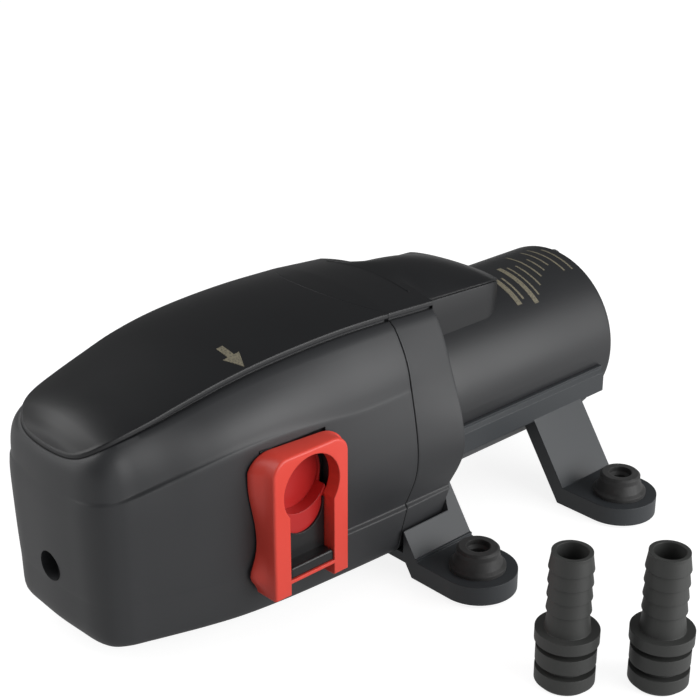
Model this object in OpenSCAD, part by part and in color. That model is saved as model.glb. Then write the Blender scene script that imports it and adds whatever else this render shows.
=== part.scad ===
// Self-priming diaphragm water pump, 12 V, with two quick-connect hose tails.
// Frame: +Z up, +X towards the outlet port, -Y towards the nose of the pump head, +Y towards the motor.
// Origin: centre of the four fixing holes, on the surface that the pump stands on.

/* [Feet] */
// Hole spacing across the pump
foot_pitch_x = 138; // [134:0.5:144]
// Hole spacing along the pump
foot_pitch_y = 80; // [76:0.5:84]
// Width of a leg along the pump
leg_w = 28.6; // [24:0.2:32]
// Thickness of a sloping leg
leg_t = 6; // [4.5:0.1:7]
// Underside of a foot pad above the floor
pad_z0 = 1.3; // [1:0.1:2.5]
// Thickness of a foot pad
pad_t = 7.2; // [6:0.1:8.5]
// Distance from the hole centre to the bend between pad and leg
pad_reach = 16; // [14:0.5:18]
// Slope of a leg, rise over run
leg_slope = 1.47; // [1.3:0.01:1.6]

/* [Grommets] */
// Height of a rubber grommet above the floor
grommet_h = 16.8; // [15:0.1:19]
// Diameter of the grommet's top ring
grommet_d = 15.4; // [14:0.1:17]
// Diameter of the grommet's neck, which passes through the pad
grommet_neck_d = 13; // [11:0.1:14]
// Diameter of the grommet's lower flange
grommet_foot_d = 21; // [18:0.1:23]
// Diameter of the fixing hole through the grommet
fixing_d = 6.5; // [5:0.1:7.5]

/* [Body] */
// Height of the motor and port axis above the floor
shaft_z = 46.5; // [45.5:0.1:48]
// Underside of the body above the floor
body_z0 = 10; // [9:0.1:11]
// Height of the body from its underside to the cover seam at the collar
body_h = 84; // [82:0.5:90]
// Width of the pump head at its widest
head_w = 90; // [88:0.2:96]
// Length of the pump head, nose to collar
head_len = 123; // [118:0.5:130]
// Distance of the head and collar joint ahead of the front fixing holes
collar_lead = 7; // [4:0.5:10]
// Length of the collar along the pump
collar_len = 22; // [18:0.5:26]
// Width of the collar at its rear edge
collar_w = 96; // [92:0.5:100]
// Wall of the moulded shells
shell_wall = 3; // [2:0.1:3.5]
// Running line between two shells
seam_gap = 0.3; // [0.2:0.05:0.5]
// Crown of the top cover above its edges
cover_crown = 4; // [2.5:0.1:6]
// How far the rounded joint of the two covers reaches ahead of its ends
cover_arc = 12.3; // [8:0.1:14]
// Length of the rear cover's hood over the motor
hood_len = 54; // [46:0.5:60]
// Width of the rear cover's hood
hood_w = 43; // [38:0.5:48]
// Diameter of the access hole in the nose
access_d = 10.4; // [8:0.1:12]
// Height of the access hole above the floor
access_z = 32; // [30:0.5:36]

/* [Motor] */
// Length of the motor behind the collar
motor_len = 101.5; // [90:0.5:110]
// Outer diameter of the motor can
can_d = 68.8; // [67:0.1:69.6]
// Wall of the motor can
can_wall = 2; // [1.5:0.1:2.5]
// Thickness of the cradle under the can
cradle_t = 1.5; // [1.3:0.1:3]
// Length of the cradle behind the collar
cradle_len = 93; // [84:0.5:100]
// Shaft diameter
shaft_d = 8; // [6:0.1:9]
// Armature diameter
armature_d = 51; // [46:0.1:52]
// Armature length
armature_len = 54; // [45:0.5:60]
// Commutator diameter
commutator_d = 22; // [18:0.1:24]
// Bearing outer diameter
bearing_d = 22; // [20:0.1:24]
// Bearing width
bearing_w = 7; // [6:0.1:8]
// Air gap between the armature and the magnets
air_gap = 1.5; // [1:0.1:2.5]

/* [Ports] */
// Distance of the port axis ahead of the collar joint
port_lead = 55; // [52:0.5:58]
// Diameter of the socket bore
socket_d = 20.2; // [19.8:0.1:21]
// Outer diameter of the socket
socket_od = 26.4; // [25:0.1:26.8]
// Distance from the middle of the pump to the socket's mouth
socket_reach = 40.4; // [39.8:0.1:41]
// Depth of the socket
socket_depth = 19; // [16:0.5:21]
// Half distance between the outer faces of the two clips
clip_reach = 52; // [51:0.1:54]
// Width of a clip's face
clip_w = 32; // [31:0.1:34]
// Height of a clip
clip_h = 50.7; // [49:0.1:53]
// Thickness of a clip's face plate
clip_t = 5.4; // [4:0.1:6]
// How far a clip's finger grips flare beyond its face
clip_flare = 2.8; // [0:0.1:4]
// Diameter of the clip's round hole
clip_hole_d = 24; // [23.6:0.1:25]
// Width of the clip's slot
clip_slot_w = 19; // [18:0.1:20]
// Travel of a clip from locked to open
clip_travel = 9.5; // [8:0.1:10.5]
// Clearance between the clip and its guide
slide_fit = 0.3; // [0.2:0.05:0.5]

/* [Hose tails] */
// Length of a hose tail
tail_len = 48.2; // [45:0.2:54]
// Diameter over the barbs
barb_d = 14.6; // [13.6:0.1:15.4]
// Diameter at the root of the barbs
barb_root_d = 13.2; // [12.4:0.1:13.5]
// Barb pitch
barb_pitch = 5; // [4.5:0.1:5.6]
// Number of barbs
barb_count = 4; // [3:1:5]
// Bore of a hose tail
tail_bore_d = 10.4; // [8:0.1:11]
// Diameter of the tail's locking flange
tail_flange_d = 20.8; // [20.4:0.1:22]
// Diameter of the tail's two spigot rings
tail_ring_d = 19.6; // [18:0.1:19.8]
// Diameter of the tail's necks
tail_neck_d = 14.4; // [13:0.1:15]

/* [Pumping parts] */
// Diameter of the valve head
valve_head_d = 62; // [56:0.5:64]
// Diameter of the drive housing
drive_d = 62; // [58:0.5:64]
// Tilt of the wobble journal
wobble_tilt = 3; // [1:0.5:4]
// Radius on which the three pistons sit
piston_pcd_r = 13.5; // [13:0.1:14]
// Piston diameter
piston_d = 14; // [12:0.1:14.4]
// Diameter of the housing bolts
bolt_d = 4; // [3:0.1:5]
// Diameter of the pressure switch
switch_d = 26; // [22:0.5:28]

/* [Hidden] */
$fn = 64;

black = "#2b2c2d";
cover_black = "#232425";
rubber_black = "#1a1a1b";
clip_red = "#d8392f";
steel = "#b9bcc0";
copper = "#b5703a";
tail_grey = "#3c3d3c";
moulding = "#55585a";

// Stations along the pump
y_joint = -foot_pitch_y / 2 - collar_lead;
y_nose = y_joint - head_len;
y_collar_end = y_joint + collar_len;
y_motor_end = y_collar_end + motor_len;
y_port = y_joint - port_lead;
y_cradle_end = y_collar_end + cradle_len;

can_r = can_d / 2;
cradle_r = can_r + seam_gap / 2 + cradle_t;
cradle_split_z = shaft_z - 4.5;
rail_x = cradle_r + 0.9;
rail_h = 8;
fit = 0.05;
gap = seam_gap;
eps = 0.01;

// ---------------------------------------------------------------- head lines
// The shell's lines are drawn on a body 90 wide, 123 long and 84 high, and scaled to the sizes above.
// Each row is one rib, from the middle of the nose back to the collar joint:
// wall x, wall y, crease x, crease y, crease z, cover seam x, seam y, seam z.
// x is from the centre plane, y from the nose, z from the underside of the body.
lines_w = 90;
lines_len = 123;
lines_h = 84;
lines = [
    [0, 0, 0, 0.3, 52, 0, 2.5, 64],
    [12, 0.5, 11.9, 0.8, 52.2, 8.8, 2.8, 64.4],
    [20.4, 1.5, 20.3, 1.7, 52.6, 14.5, 3.7, 65.4],
    [26.2, 4.5, 26, 4.6, 53, 18.6, 5.6, 67],
    [29.9, 9.9, 29.5, 9.8, 53.4, 22, 9, 69.2],
    [32.2, 16.4, 31.8, 16, 54.8, 24.2, 14.5, 71.2],
    [35, 25, 34.6, 24.8, 57.2, 26, 24, 73.6],
    [38.2, 35.5, 38, 35.4, 60, 27.3, 35.5, 76.6],
    [41.2, 48, 41, 48, 62.6, 28.6, 48, 79.6],
    [43.2, 63, 42.7, 63, 63.6, 29.5, 63, 82],
    [44.4, 80, 43.1, 80, 62.4, 30, 80, 83.4],
    [45.2, 100, 42.5, 100, 59.8, 30.2, 100, 84],
    [45.9, 123, 41.9, 123, 59.5, 30.4, 123, 83.5]];
last_rib = len(lines) - 1;

function flip(r) = [-r[0], r[1], -r[2], r[3], r[4], -r[5], r[6], r[7]];
function line_row(i) = i < 0 ? flip(line_row(-i)) :
    i > last_rib ? 2 * lines[last_rib] - lines[last_rib - 1] : lines[i];
// Smooth curve through four neighbours, at t between the middle two
function spline(a, b, c, d, t) =
    (2 * b + (c - a) * t + (2 * a - 5 * b + 4 * c - d) * t * t + (3 * b - a - 3 * c + d) * t * t * t) / 2;
function raw_rib(u) = let (i = min(floor(u), last_rib - 1), t = u - i)
    spline(line_row(i - 1), line_row(i), line_row(i + 1), line_row(i + 2), t);
function px(v) = v * head_w / lines_w;
function py(v) = y_nose + v * head_len / lines_len;
function pz(v) = body_z0 + v * body_h / lines_h;
function rib(u) = let (r = raw_rib(u))
    [px(r[0]), py(r[1]), px(r[2]), py(r[3]), pz(r[4]), px(r[5]), py(r[6]), pz(r[7])];
function inward(u) = let (a = rib(max(u - 0.1, -last_rib)), b = rib(min(u + 0.1, last_rib)),
    t = [b[0] - a[0], b[1] - a[1]]) [-t[1], t[0]] / norm(t);
function mix(a, b, t) = a * (1 - t) + b * t;
function ramp(v, a, b) = let (t = min(1, max(0, (v - a) / (b - a)))) t * t * (3 - 2 * t);

// Levels of the wall above the underside: the plinth, its step, the tuck above it and the fullest line
plinth_h = 15.8;
tuck_h = 16.8;
undercut_h = 26;
full_h = 36.5;
upper_h = 48;
wall_draft = 1;
tuck_in = 2.6;
edge_r_nose = 9.5;
edge_r_side = 4.5;
// The lower part of both collar joints leans forward, down to the underside
lean = 8.5;
lean_top = 31;
function leaned(y, z, k) = y - lean * k * ramp(body_z0 + lean_top - z, 0, lean_top);

// The shoulder's lip over the crease: none at the middle of the nose, largest behind its corners
function lip(u) = 0.5 * ramp(abs(u), 0.6, 2.6) + 0.8 * ramp(abs(u), 3.2, 5) - 0.5 * ramp(abs(u), 5, 8);
function edge_r(u) = mix(edge_r_nose, edge_r_side, ramp(abs(u), 0.5, 3.8));
// How the shoulder rises from the crease to the seam: upright and rounded over at the nose, sloped behind it
function shoulder_in(u) = mix(-0.03, 0.11, ramp(abs(u), 3.2, 7));
function shoulder_up(u) = mix(0.95, 0.53, ramp(abs(u), 3.2, 6.2));
// One rib of the outer surface, from the underside up to the cover seam
function wall_pt(w, n, inset, z) = [w[0] + n[0] * inset, w[1] + n[1] * inset, z];
function outer_rib(u) = let (
    w = rib(u), n = inward(u), r = edge_r(u),
    q = ramp(abs(u), 9.3, 10.2), k = ramp(abs(u), 10, last_rib),
    a45 = r * (1 - cos(45)),
    crease = [w[2], w[3], w[4]], seam = [w[5], w[6], w[7]],
    up = crease + [n[0], n[1], 0] * lip(u) + [0, 0, 0.5],
    m = shoulder_in(u),
    mid = [mix(up[0], seam[0], m), mix(up[1], seam[1], m), mix(up[2], seam[2], shoulder_up(u))],
    pts = [
        wall_pt(w, n, wall_draft + r, body_z0),
        wall_pt(w, n, wall_draft + a45, body_z0 + a45),
        wall_pt(w, n, wall_draft, body_z0 + r),
        wall_pt(w, n, mix(0.8, 1.2, q), body_z0 + plinth_h),
        wall_pt(w, n, mix(0.7, tuck_in, q), body_z0 + tuck_h),
        wall_pt(w, n, mix(0.3, 0.9, q), body_z0 + undercut_h),
        wall_pt(w, n, 0, body_z0 + full_h),
        mix(wall_pt(w, n, 0, body_z0 + full_h), crease, (upper_h - full_h) / (w[4] - body_z0 - full_h))
            - [n[0], n[1], 0] * 0.4,
        crease - [0, 0, 0.3],
        up,
        for (t = [0.25, 0.5, 0.75, 1]) up * (1 - t) * (1 - t) + mid * 2 * t * (1 - t) + seam * t * t])
    [for (p = pts) [p[0], leaned(p[1], p[2], k), p[2]]];
// The same rib one wall further in
function inner_rib(u, wall) = let (n = inward(u), o = outer_rib(u))
    [for (p = o) [p[0] + n[0] * wall, p[1] + n[1] * wall, max(p[2], body_z0 + wall)]];

rib_step = 0.5;
function span(a, b, step) = [for (i = [0:round((b - a) / step)]) a + i * step];
// Triangles of a grid of rows x cols points that starts at index o
function grid(o, rows, cols, turn = false) = [for (i = [0:rows - 2], j = [0:cols - 2])
    let (a = o + i * cols + j, b = a + 1, c = a + cols, d = c + 1)
    each (turn ? [[a, c, d], [a, d, b]] : [[a, d, c], [a, b, d]])];

// The head's tub, open at the top and at the collar
module head_tub(wall) {
    us = span(-last_rib, last_rib, rib_step);
    outer = [for (u = us) outer_rib(u)];
    inner = [for (u = us) inner_rib(u, wall)];
    rows = len(us);
    cols = len(outer[0]);
    half = rows * cols;
    pts = [for (r = outer, p = r) p, for (r = inner, p = r) p];
    polyhedron(pts, [
        each grid(0, rows, cols),
        each grid(half, rows, cols, true),
        // rim under the cover
        for (i = [0:rows - 2]) let (a = i * cols + cols - 1, b = a + cols)
            each [[a, b + half, b], [a, a + half, b + half]],
        // ends at the collar
        for (j = [0:cols - 2]) each [[j, j + 1 + half, j + 1], [j, j + half, j + 1 + half]],
        for (j = [0:cols - 2]) let (a = (rows - 1) * cols + j)
            each [[a, a + 1, a + 1 + half], [a, a + 1 + half, a + half]],
        // underside and floor
        [for (i = [0:rows - 1]) i * cols],
        [for (i = [rows - 1:-1:0]) half + i * cols],
        [0, (rows - 1) * cols, half + (rows - 1) * cols, half]]);
}

// A crowned cover between the two sides of the seam, from rib u0 back to rib u1
cover_cols = 12;
cover_edge = 1.2;
function crown_at(u) = let (f = abs(rib(u)[5]) / px(30)) cover_crown * (1 - pow(max(0, 1 - f), 2));
function cover_row(u, z0, crown) = let (w = rib(u), x = w[5] - 0.4)
    [for (k = [0:cover_cols]) let (s = 2 * k / cover_cols - 1)
        [x * s, w[6] + 0.3, w[7] + z0 + crown * (1 - s * s)]];
// A skin between two grids of points, one above the other
module cover_skin(top, low) {
    rows = len(top);
    cols = cover_cols + 1;
    half = rows * cols;
    polyhedron([for (r = top, p = r) p, for (r = low, p = r) p], [
        each grid(0, rows, cols, true),
        each grid(half, rows, cols),
        for (j = [0:cols - 2]) each [[j, j + 1, j + 1 + half], [j, j + 1 + half, j + half]],
        for (j = [0:cols - 2]) let (a = (rows - 1) * cols + j)
            each [[a, a + 1 + half, a + 1], [a, a + half, a + 1 + half]],
        for (i = [0:rows - 2]) let (a = i * cols, b = a + cols)
            each [[a, b + half, b], [a, a + half, b + half]],
        for (i = [0:rows - 2]) let (a = i * cols + cols - 1, b = a + cols)
            each [[a, b, b + half], [a, b + half, a + half]]]);
}
// The two covers meet on an arc in plan, with its ends at the head and collar joint
arc_x = px(lines[last_rib][5]);
arc_r = (arc_x * arc_x + cover_arc * cover_arc) / (2 * cover_arc);
module joint_arc(r) translate([0, y_joint - cover_arc + arc_r, shaft_z]) cylinder(r = r, h = 2 * body_h, $fn = 128);

// ---------------------------------------------------------------- shell pieces
skirt_t = 2.4;
window_w = clip_w - 2 * skirt_t;
window_z0 = shaft_z - 26.2;
window_z1 = shaft_z + 23.8;
module port_window(grow = 0) {
    translate([0, y_port - window_w / 2 - grow, window_z0 - grow])
        cube([head_w, window_w + 2 * grow, window_z1 - window_z0 + 2 * grow]);
}

module head_shell() color(black) difference() {
    head_tub(shell_wall);
    for (s = [0, 1]) mirror([s, 0, 0]) port_window();
    translate([0, y_nose - shell_wall, access_z]) rotate([-90, 0, 0])
        cylinder(d = access_d, h = 4 * shell_wall);
}

front_ribs = 22;
module front_cover() color(cover_black) difference() {
    us = span(0.25, last_rib - 0.05, (last_rib - 0.3) / front_ribs);
    cover_skin([for (u = us) cover_row(u, gap + cover_edge, crown_at(u))],
        [for (u = us) cover_row(u, gap, max(0, crown_at(u) - cover_edge - 0.2))]);
    joint_arc(arc_r);
}

// Half widths and end of the hood over the motor, measured back from the collar joint
hood_rows = [[18, 1], [30, 1], [42, 1], [60, 1], [66, 0.93], [70, 0.82], [73, 0.66], [75.2, 0.42], [76, 0.2]];
// The hood's top falls to its sides by less and less towards its end
hood_side_drop = 6.5;
hood_end_drop = 2;
function hood_drop(d) = mix(hood_side_drop, hood_end_drop, ramp(d, 40, 64));
function hood_top(d) = pz(lines[last_rib][7]) + gap + cover_edge + cover_crown - 0.5
    - 14.5 * pow(max(0, d - 18) / 58, 2.2);
function hood_row(r, inset) = let (
    stretch = hood_len / 54,
    y = y_joint + 18 + (r[0] - 18) * stretch,
    x = hood_w / 2 * r[1] - inset,
    zt = hood_top(r[0]) - inset,
    ze = zt - hood_drop(r[0]) * pow(x / (hood_w / 2), 2))
    [[-x, y, shaft_z], for (k = [0:8]) let (s = k / 4 - 1)
        [x * s, y, ze + (zt - ze) * (1 - s * s)], [x, y, shaft_z]];
module hood(inset, grow) {
    rows = [for (r = hood_rows) hood_row([r[0] + (r[0] < 20 ? -grow : -inset), r[1]], inset)];
    cols = len(rows[0]);
    n = len(rows);
    polyhedron([for (r = rows, p = r) p], [
        each grid(0, n, cols, true),
        [for (j = [0:cols - 1]) j],
        [for (j = [cols - 1:-1:0]) (n - 1) * cols + j],
        for (i = [0:n - 2]) let (a = i * cols, b = a + cols)
            each [[a, b + cols - 1, b], [a, a + cols - 1, b + cols - 1]]]);
}
// The bridge follows the head's rim from ahead of the arc, then the collar's rim to its rear edge
arc_rib = last_rib - 1.6;
bridge_rows = 5;
function rim(v) = mix([rib(last_rib)[5], y_joint, rib(last_rib)[7]], collar_rear_seam, v);
function bridge_row(v, z0, crown) = let (p = rim(v))
    [for (k = [0:cover_cols]) let (s = 2 * k / cover_cols - 1)
        [(p[0] - 0.4) * s, p[1], p[2] + z0 + crown * (1 - s * s)]];
module rear_bridge() intersection() {
    us = span(arc_rib, last_rib - 0.2, 0.35);
    vs = span(0, 1, 1 / bridge_rows);
    cover_skin([for (u = us) cover_row(u, gap + cover_edge, crown_at(u)),
            for (v = vs) bridge_row(v, gap + cover_edge, cover_crown)],
        [for (u = us) cover_row(u, gap, cover_crown - cover_edge - 0.2),
            for (v = vs) bridge_row(v, gap, cover_crown - cover_edge - 0.2)]);
    joint_arc(arc_r - gap);
}
module rear_cover() color(cover_black) {
    rear_bridge();
    difference() {
        hood(0, 0);
        hood(2.2, 3);
        axial(can_d + 2 * gap, y_joint, y_motor_end);
        // clear of the collar's rear wall
        translate([-head_w, y_joint, 0]) cube([2 * head_w, y_collar_end + gap - y_joint, collar_rear_seam[2] + gap]);
    }
}

// The collar's rear edge: half width and height above the underside, drawn on a collar 96 wide
collar_lines_w = 96;
collar_rear = [[38, 0], [41, 1.2], [43, 4.5], [44.6, 15.8], [43.6, 16.8], [46.6, 26], [48, 33],
    [46.2, 44], [42.6, 54], [41.6, 56.5], [39.4, 62.5], [37, 69], [33.9, 75.6], [29.8, 82]];
collar_rear_seam = [collar_rear[13][0] * collar_w / collar_lines_w, y_collar_end, pz(collar_rear[13][1])];
function collar_rear_pt(i, inset) = let (p = collar_rear[i], z = max(pz(p[1]), body_z0 + inset))
    [p[0] * collar_w / collar_lines_w - inset, leaned(y_collar_end, pz(p[1]), 1), z];
function collar_rib(v, inset) = let (a = inset == 0 ? outer_rib(last_rib) : inner_rib(last_rib, inset))
    [for (i = [0:len(a) - 1]) let (p = mix(a[i], collar_rear_pt(i, inset), v))
        [p[0], p[1] + (v == 0 ? gap : 0), p[2]]];
function both_sides(r) = [for (i = [len(r) - 1:-1:0]) r[i], for (p = r) [-p[0], p[1], p[2]]];
module collar_band() {
    vs = span(0, 1, 0.25);
    n = len(vs);
    ring = [for (v = vs) concat(both_sides(collar_rib(v, 0)), [for (p = both_sides(collar_rib(v, shell_wall))) p])];
    cols = len(ring[0]) / 2;
    full = 2 * cols;
    function at(i, j, inner) = i * full + (inner ? cols : 0) + j;
    polyhedron([for (r = ring, p = r) p], [
        for (i = [0:n - 2], j = [0:cols - 2]) each [
            [at(i, j, false), at(i + 1, j, false), at(i + 1, j + 1, false)],
            [at(i, j, false), at(i + 1, j + 1, false), at(i, j + 1, false)],
            [at(i, j, true), at(i + 1, j + 1, true), at(i + 1, j, true)],
            [at(i, j, true), at(i, j + 1, true), at(i + 1, j + 1, true)]],
        for (j = [0:cols - 2]) each [
            [at(0, j, false), at(0, j + 1, false), at(0, j + 1, true)],
            [at(0, j, false), at(0, j + 1, true), at(0, j, true)],
            [at(n - 1, j, false), at(n - 1, j + 1, true), at(n - 1, j + 1, false)],
            [at(n - 1, j, false), at(n - 1, j, true), at(n - 1, j + 1, true)]],
        for (i = [0:n - 2]) each [
            [at(i, 0, false), at(i, 0, true), at(i + 1, 0, true)],
            [at(i, 0, false), at(i + 1, 0, true), at(i + 1, 0, false)],
            [at(i, cols - 1, false), at(i + 1, cols - 1, true), at(i, cols - 1, true)],
            [at(i, cols - 1, false), at(i + 1, cols - 1, false), at(i + 1, cols - 1, true)]]]);
}
// The wall that closes the collar round the motor
module collar_back() {
    n = len(collar_rear);
    edge = [for (i = [0:n - 1]) collar_rear_pt(i, shell_wall / 2)];
    pts = [for (p = edge) each [p, [-p[0], p[1], p[2]], p - [0, shell_wall, 0], [-p[0], p[1] - shell_wall, p[2]]]];
    polyhedron(pts, [
        for (i = [1:n - 2]) let (a = 4 * i, b = a + 4) each [
            [a, b, b + 1], [a, b + 1, a + 1],
            [a + 2, b + 3, b + 2], [a + 2, a + 3, b + 3],
            [a, b + 2, b], [a, a + 2, b + 2],
            [a + 1, b + 1, b + 3], [a + 1, b + 3, a + 3]],
        [4, 5, 7, 6],
        [4 * n - 4, 4 * n - 2, 4 * n - 1, 4 * n - 3]]);
}

// A cylinder along +Y from y0 to y1 on the motor's axis
module axial(d, y0, y1) {
    translate([0, y0, shaft_z]) rotate([-90, 0, 0]) cylinder(d = d, h = y1 - y0);
}
module axial_tube(d, bore, y0, y1) difference() {
    axial(d, y0, y1);
    axial(bore, y0 - 1, y1 + 1);
}

// How far the cradle's two tongues reach into the collar, and the height of their lower edges
cradle_in = 7;
tongue_z = body_z0 + shell_wall + 2;
// The cradle's outline across the pump: a half tube with a rail along each side
module cradle_outline(grow) {
    difference() {
        union() {
            circle(r = cradle_r + grow, $fn = 96);
            for (s = [-1, 1]) scale_x(s) polygon([[cradle_r - 6, cradle_split_z - shaft_z + grow],
                [cradle_r - 1.6, cradle_split_z - shaft_z + grow],
                [rail_x + grow, cradle_split_z - shaft_z - 2.6],
                [rail_x + grow, cradle_split_z - shaft_z - 2.6 - rail_h - grow],
                [cradle_r - 6, cradle_split_z - shaft_z - 4 - rail_h - grow]]);
        }
        translate([-head_w, cradle_split_z - shaft_z + grow]) square([2 * head_w, head_w]);
    }
}
module scale_x(s) { if (s < 0) mirror([1, 0]) children(); else children(); }

module collar() color(black) difference() {
    union() { collar_band(); collar_back(); }
    axial(can_d + 2 * gap, y_joint, y_collar_end + 2);
    translate([0, y_collar_end + 2, shaft_z]) rotate([90, 0, 0])
        linear_extrude(cradle_in + 2 + gap) intersection() {
            cradle_outline(gap);
            translate([-head_w, tongue_z - shaft_z - gap]) square(2 * head_w);
        }
    lead_hole(lead_gland_d + 2 * fit);
    for (p = base_screw_places) translate([p[0], p[1], body_z0 - 1]) cylinder(d = base_screw_d, h = shell_wall + 2);
}

// ---------------------------------------------------------------- legs and pads
pad_r = leg_w / 2;
bend_x = foot_pitch_x / 2 - pad_reach;
pad_top = pad_z0 + pad_t;
leg_run = leg_t * sqrt(1 + leg_slope * leg_slope) / leg_slope;
function leg_x(z) = bend_x - (z - pad_top) / leg_slope;

// One leg and pad at +X, with the leg's top cut at height z1; the section is extruded along the pump
module leg(z1) {
    difference() {
        union() {
            translate([0, leg_w / 2, 0]) rotate([90, 0, 0]) linear_extrude(leg_w)
                polygon([[bend_x, pad_top], [leg_x(z1), z1], [leg_x(z1) - leg_run, z1],
                    [leg_x(pad_z0) - leg_run, pad_z0], [foot_pitch_x / 2, pad_z0], [foot_pitch_x / 2, pad_top]]);
            translate([foot_pitch_x / 2, 0, pad_z0]) cylinder(r = pad_r, h = pad_t);
        }
        translate([foot_pitch_x / 2, 0, 0]) cylinder(d = grommet_neck_d + 2 * fit, h = 3 * pad_top);
        translate([foot_pitch_x / 2, 0, -1]) cylinder(d = grommet_foot_d + 2 * fit, h = pad_z0 + 1 + grommet_seat);
    }
}
grommet_seat = 1.7;

module rubber_grommet(x, y) color(rubber_black) translate([x, y, 0]) rotate_extrude()
    polygon([[fixing_d / 2, 0], [grommet_foot_d / 2, 0], [grommet_foot_d / 2, pad_z0 + grommet_seat],
        [grommet_neck_d / 2, pad_z0 + grommet_seat], [grommet_neck_d / 2, pad_top + fit],
        [grommet_foot_d / 2 - 0.4, pad_top + fit], [grommet_foot_d / 2 - 0.4, pad_top + 1.4],
        [grommet_foot_d / 2 - 1.6, pad_top + 2.4], [grommet_d / 2 + 0.4, pad_top + 4.6],
        [grommet_d / 2, grommet_h - 2.6], [grommet_d / 2, grommet_h - 0.8],
        [grommet_d / 2 - 0.8, grommet_h], [fixing_d / 2 + 1.1, grommet_h],
        [fixing_d / 2 + 1.1, grommet_h - 2], [fixing_d / 2, grommet_h - 3]]);
module grommet_front_left() rubber_grommet(-foot_pitch_x / 2, -foot_pitch_y / 2);
module grommet_front_right() rubber_grommet(foot_pitch_x / 2, -foot_pitch_y / 2);
module grommet_rear_left() rubber_grommet(-foot_pitch_x / 2, foot_pitch_y / 2);
module grommet_rear_right() rubber_grommet(foot_pitch_x / 2, foot_pitch_y / 2);

// The front bracket: a plate under the body, with a leg each side
plate_t = 3.6;
base_screw_d = 3.5;
base_screw_places = [for (s = [-1, 1], t = [0, 1]) [s * 26, y_collar_end - 13 - 6 * t - lean / 2]];
plinth_x = px(lines[last_rib][0]);
// Each leg rises past the plinth where the collar's lower rear corner is cut away
leg_top = 26.6;
module body_room() {
    z0 = body_z0 - gap;
    half = plinth_x + gap;
    translate([-half, 0, 0]) rotate([90, 0, 90]) linear_extrude(2 * half)
        polygon([[y_joint - leg_w, z0], [leaned(y_collar_end, z0, 1) + gap, z0],
            for (z = [body_z0 + 4:3:body_z0 + 22]) [leaned(y_collar_end, z, 1) + gap, z],
            [y_collar_end + gap, body_z0 + lean_top], [y_joint - leg_w, body_z0 + lean_top]]);
}
module front_bracket() color(black) difference() {
    translate([0, -foot_pitch_y / 2, 0]) {
        for (s = [0, 1]) mirror([s, 0, 0]) leg(leg_top);
        translate([-leg_x(pad_top), -leg_w / 2, body_z0 - gap - plate_t]) cube([2 * leg_x(pad_top), leg_w, plate_t]);
    }
    body_room();
    for (p = base_screw_places) translate([p[0], p[1], 0]) cylinder(d = base_screw_d + 2 * fit, h = body_z0 + 1);
}
module base_screws() color(steel) for (p = base_screw_places) translate([p[0], p[1], body_z0 - gap - plate_t]) {
    translate([0, 0, -1.6]) difference() {
        cylinder(d = 2 * base_screw_d, h = 1.6);
        for (a = [0, 90]) rotate([0, 0, a])
            translate([-base_screw_d * 0.6, -0.4, -0.1]) cube([base_screw_d * 1.2, 0.8, 0.9]);
    }
    cylinder(d = base_screw_d - 2 * fit, h = plate_t + shell_wall + 2);
}

module motor_cradle() color(black) {
    difference() {
        union() {
            translate([0, y_cradle_end, shaft_z]) rotate([90, 0, 0])
                linear_extrude(cradle_len + cradle_in) cradle_outline(0);
            translate([0, foot_pitch_y / 2, 0]) for (s = [0, 1]) mirror([s, 0, 0])
                leg(pad_top + (bend_x - rail_x) * leg_slope + 0.4);
        }
        axial(can_d + gap, y_joint - 1, y_motor_end + 1);
        // the collar's floor runs under the front end
        translate([-head_w, y_joint, 0]) cube([2 * head_w, y_collar_end + gap - y_joint, tongue_z]);
    }
}

// ---------------------------------------------------------------- motor
y_can0 = y_collar_end - 5;
end_plate_t = 10;
can_edge = 2.5;
module bolt_places(r) for (a = [90, 270]) rotate([0, a, 0]) translate([r, 0, 0]) children();
// the bolts run midway between the armature and the can
motor_bolt_r = (armature_d / 2 + can_r - can_wall) / 2;

module motor_can() color(black) difference() {
    translate([0, y_can0, shaft_z]) rotate([-90, 0, 0]) rotate_extrude($fn = 128)
        polygon([[0, 0], [can_r, 0], [can_r, y_motor_end - y_can0 - can_edge],
            for (a = [15:15:75]) [can_r, y_motor_end - y_can0] - can_edge * [1 - cos(a), 1 - sin(a)],
            [can_r - can_edge, y_motor_end - y_can0], [0, y_motor_end - y_can0]]);
    axial(can_d - 2 * can_wall, y_can0 - 1, y_motor_end - can_wall);
    motor_bolt_holes(y_motor_end - can_wall - 1, y_motor_end + 1);
}
module motor_bolt_holes(y0, y1) for (s = [-1, 1]) translate([0, y0, shaft_z + s * motor_bolt_r])
    rotate([-90, 0, 0]) cylinder(d = bolt_d + 2 * fit, h = y1 - y0);
y_plate0 = y_can0 - 2;
y_plate1 = y_plate0 + end_plate_t;
module motor_end_plate() color(moulding) difference() {
    union() {
        axial(can_d, y_plate0, y_can0 - fit);
        axial(can_d - 2 * can_wall - 2 * fit, y_plate0, y_plate1);
    }
    axial(bearing_d + 2 * fit, y_plate1 - bearing_w, y_plate1 + 1);
    axial(shaft_d + 4, y_plate0 - 1, y_plate1);
    motor_bolt_holes(y_plate0 - 1, y_plate1 + 1);
}
module bearing(y0) color(steel) difference() {
    axial(bearing_d, y0, y0 + bearing_w);
    axial(shaft_d + 2 * fit, y0 - 1, y0 + bearing_w + 1);
    for (y = [y0 - 1, y0 + bearing_w - 0.6]) axial_tube(bearing_d - 4, shaft_d + 4, y, y + 1.6);
}
module front_bearing() bearing(y_plate1 - bearing_w);
y_rear_boss = y_motor_end - can_wall;
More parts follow.
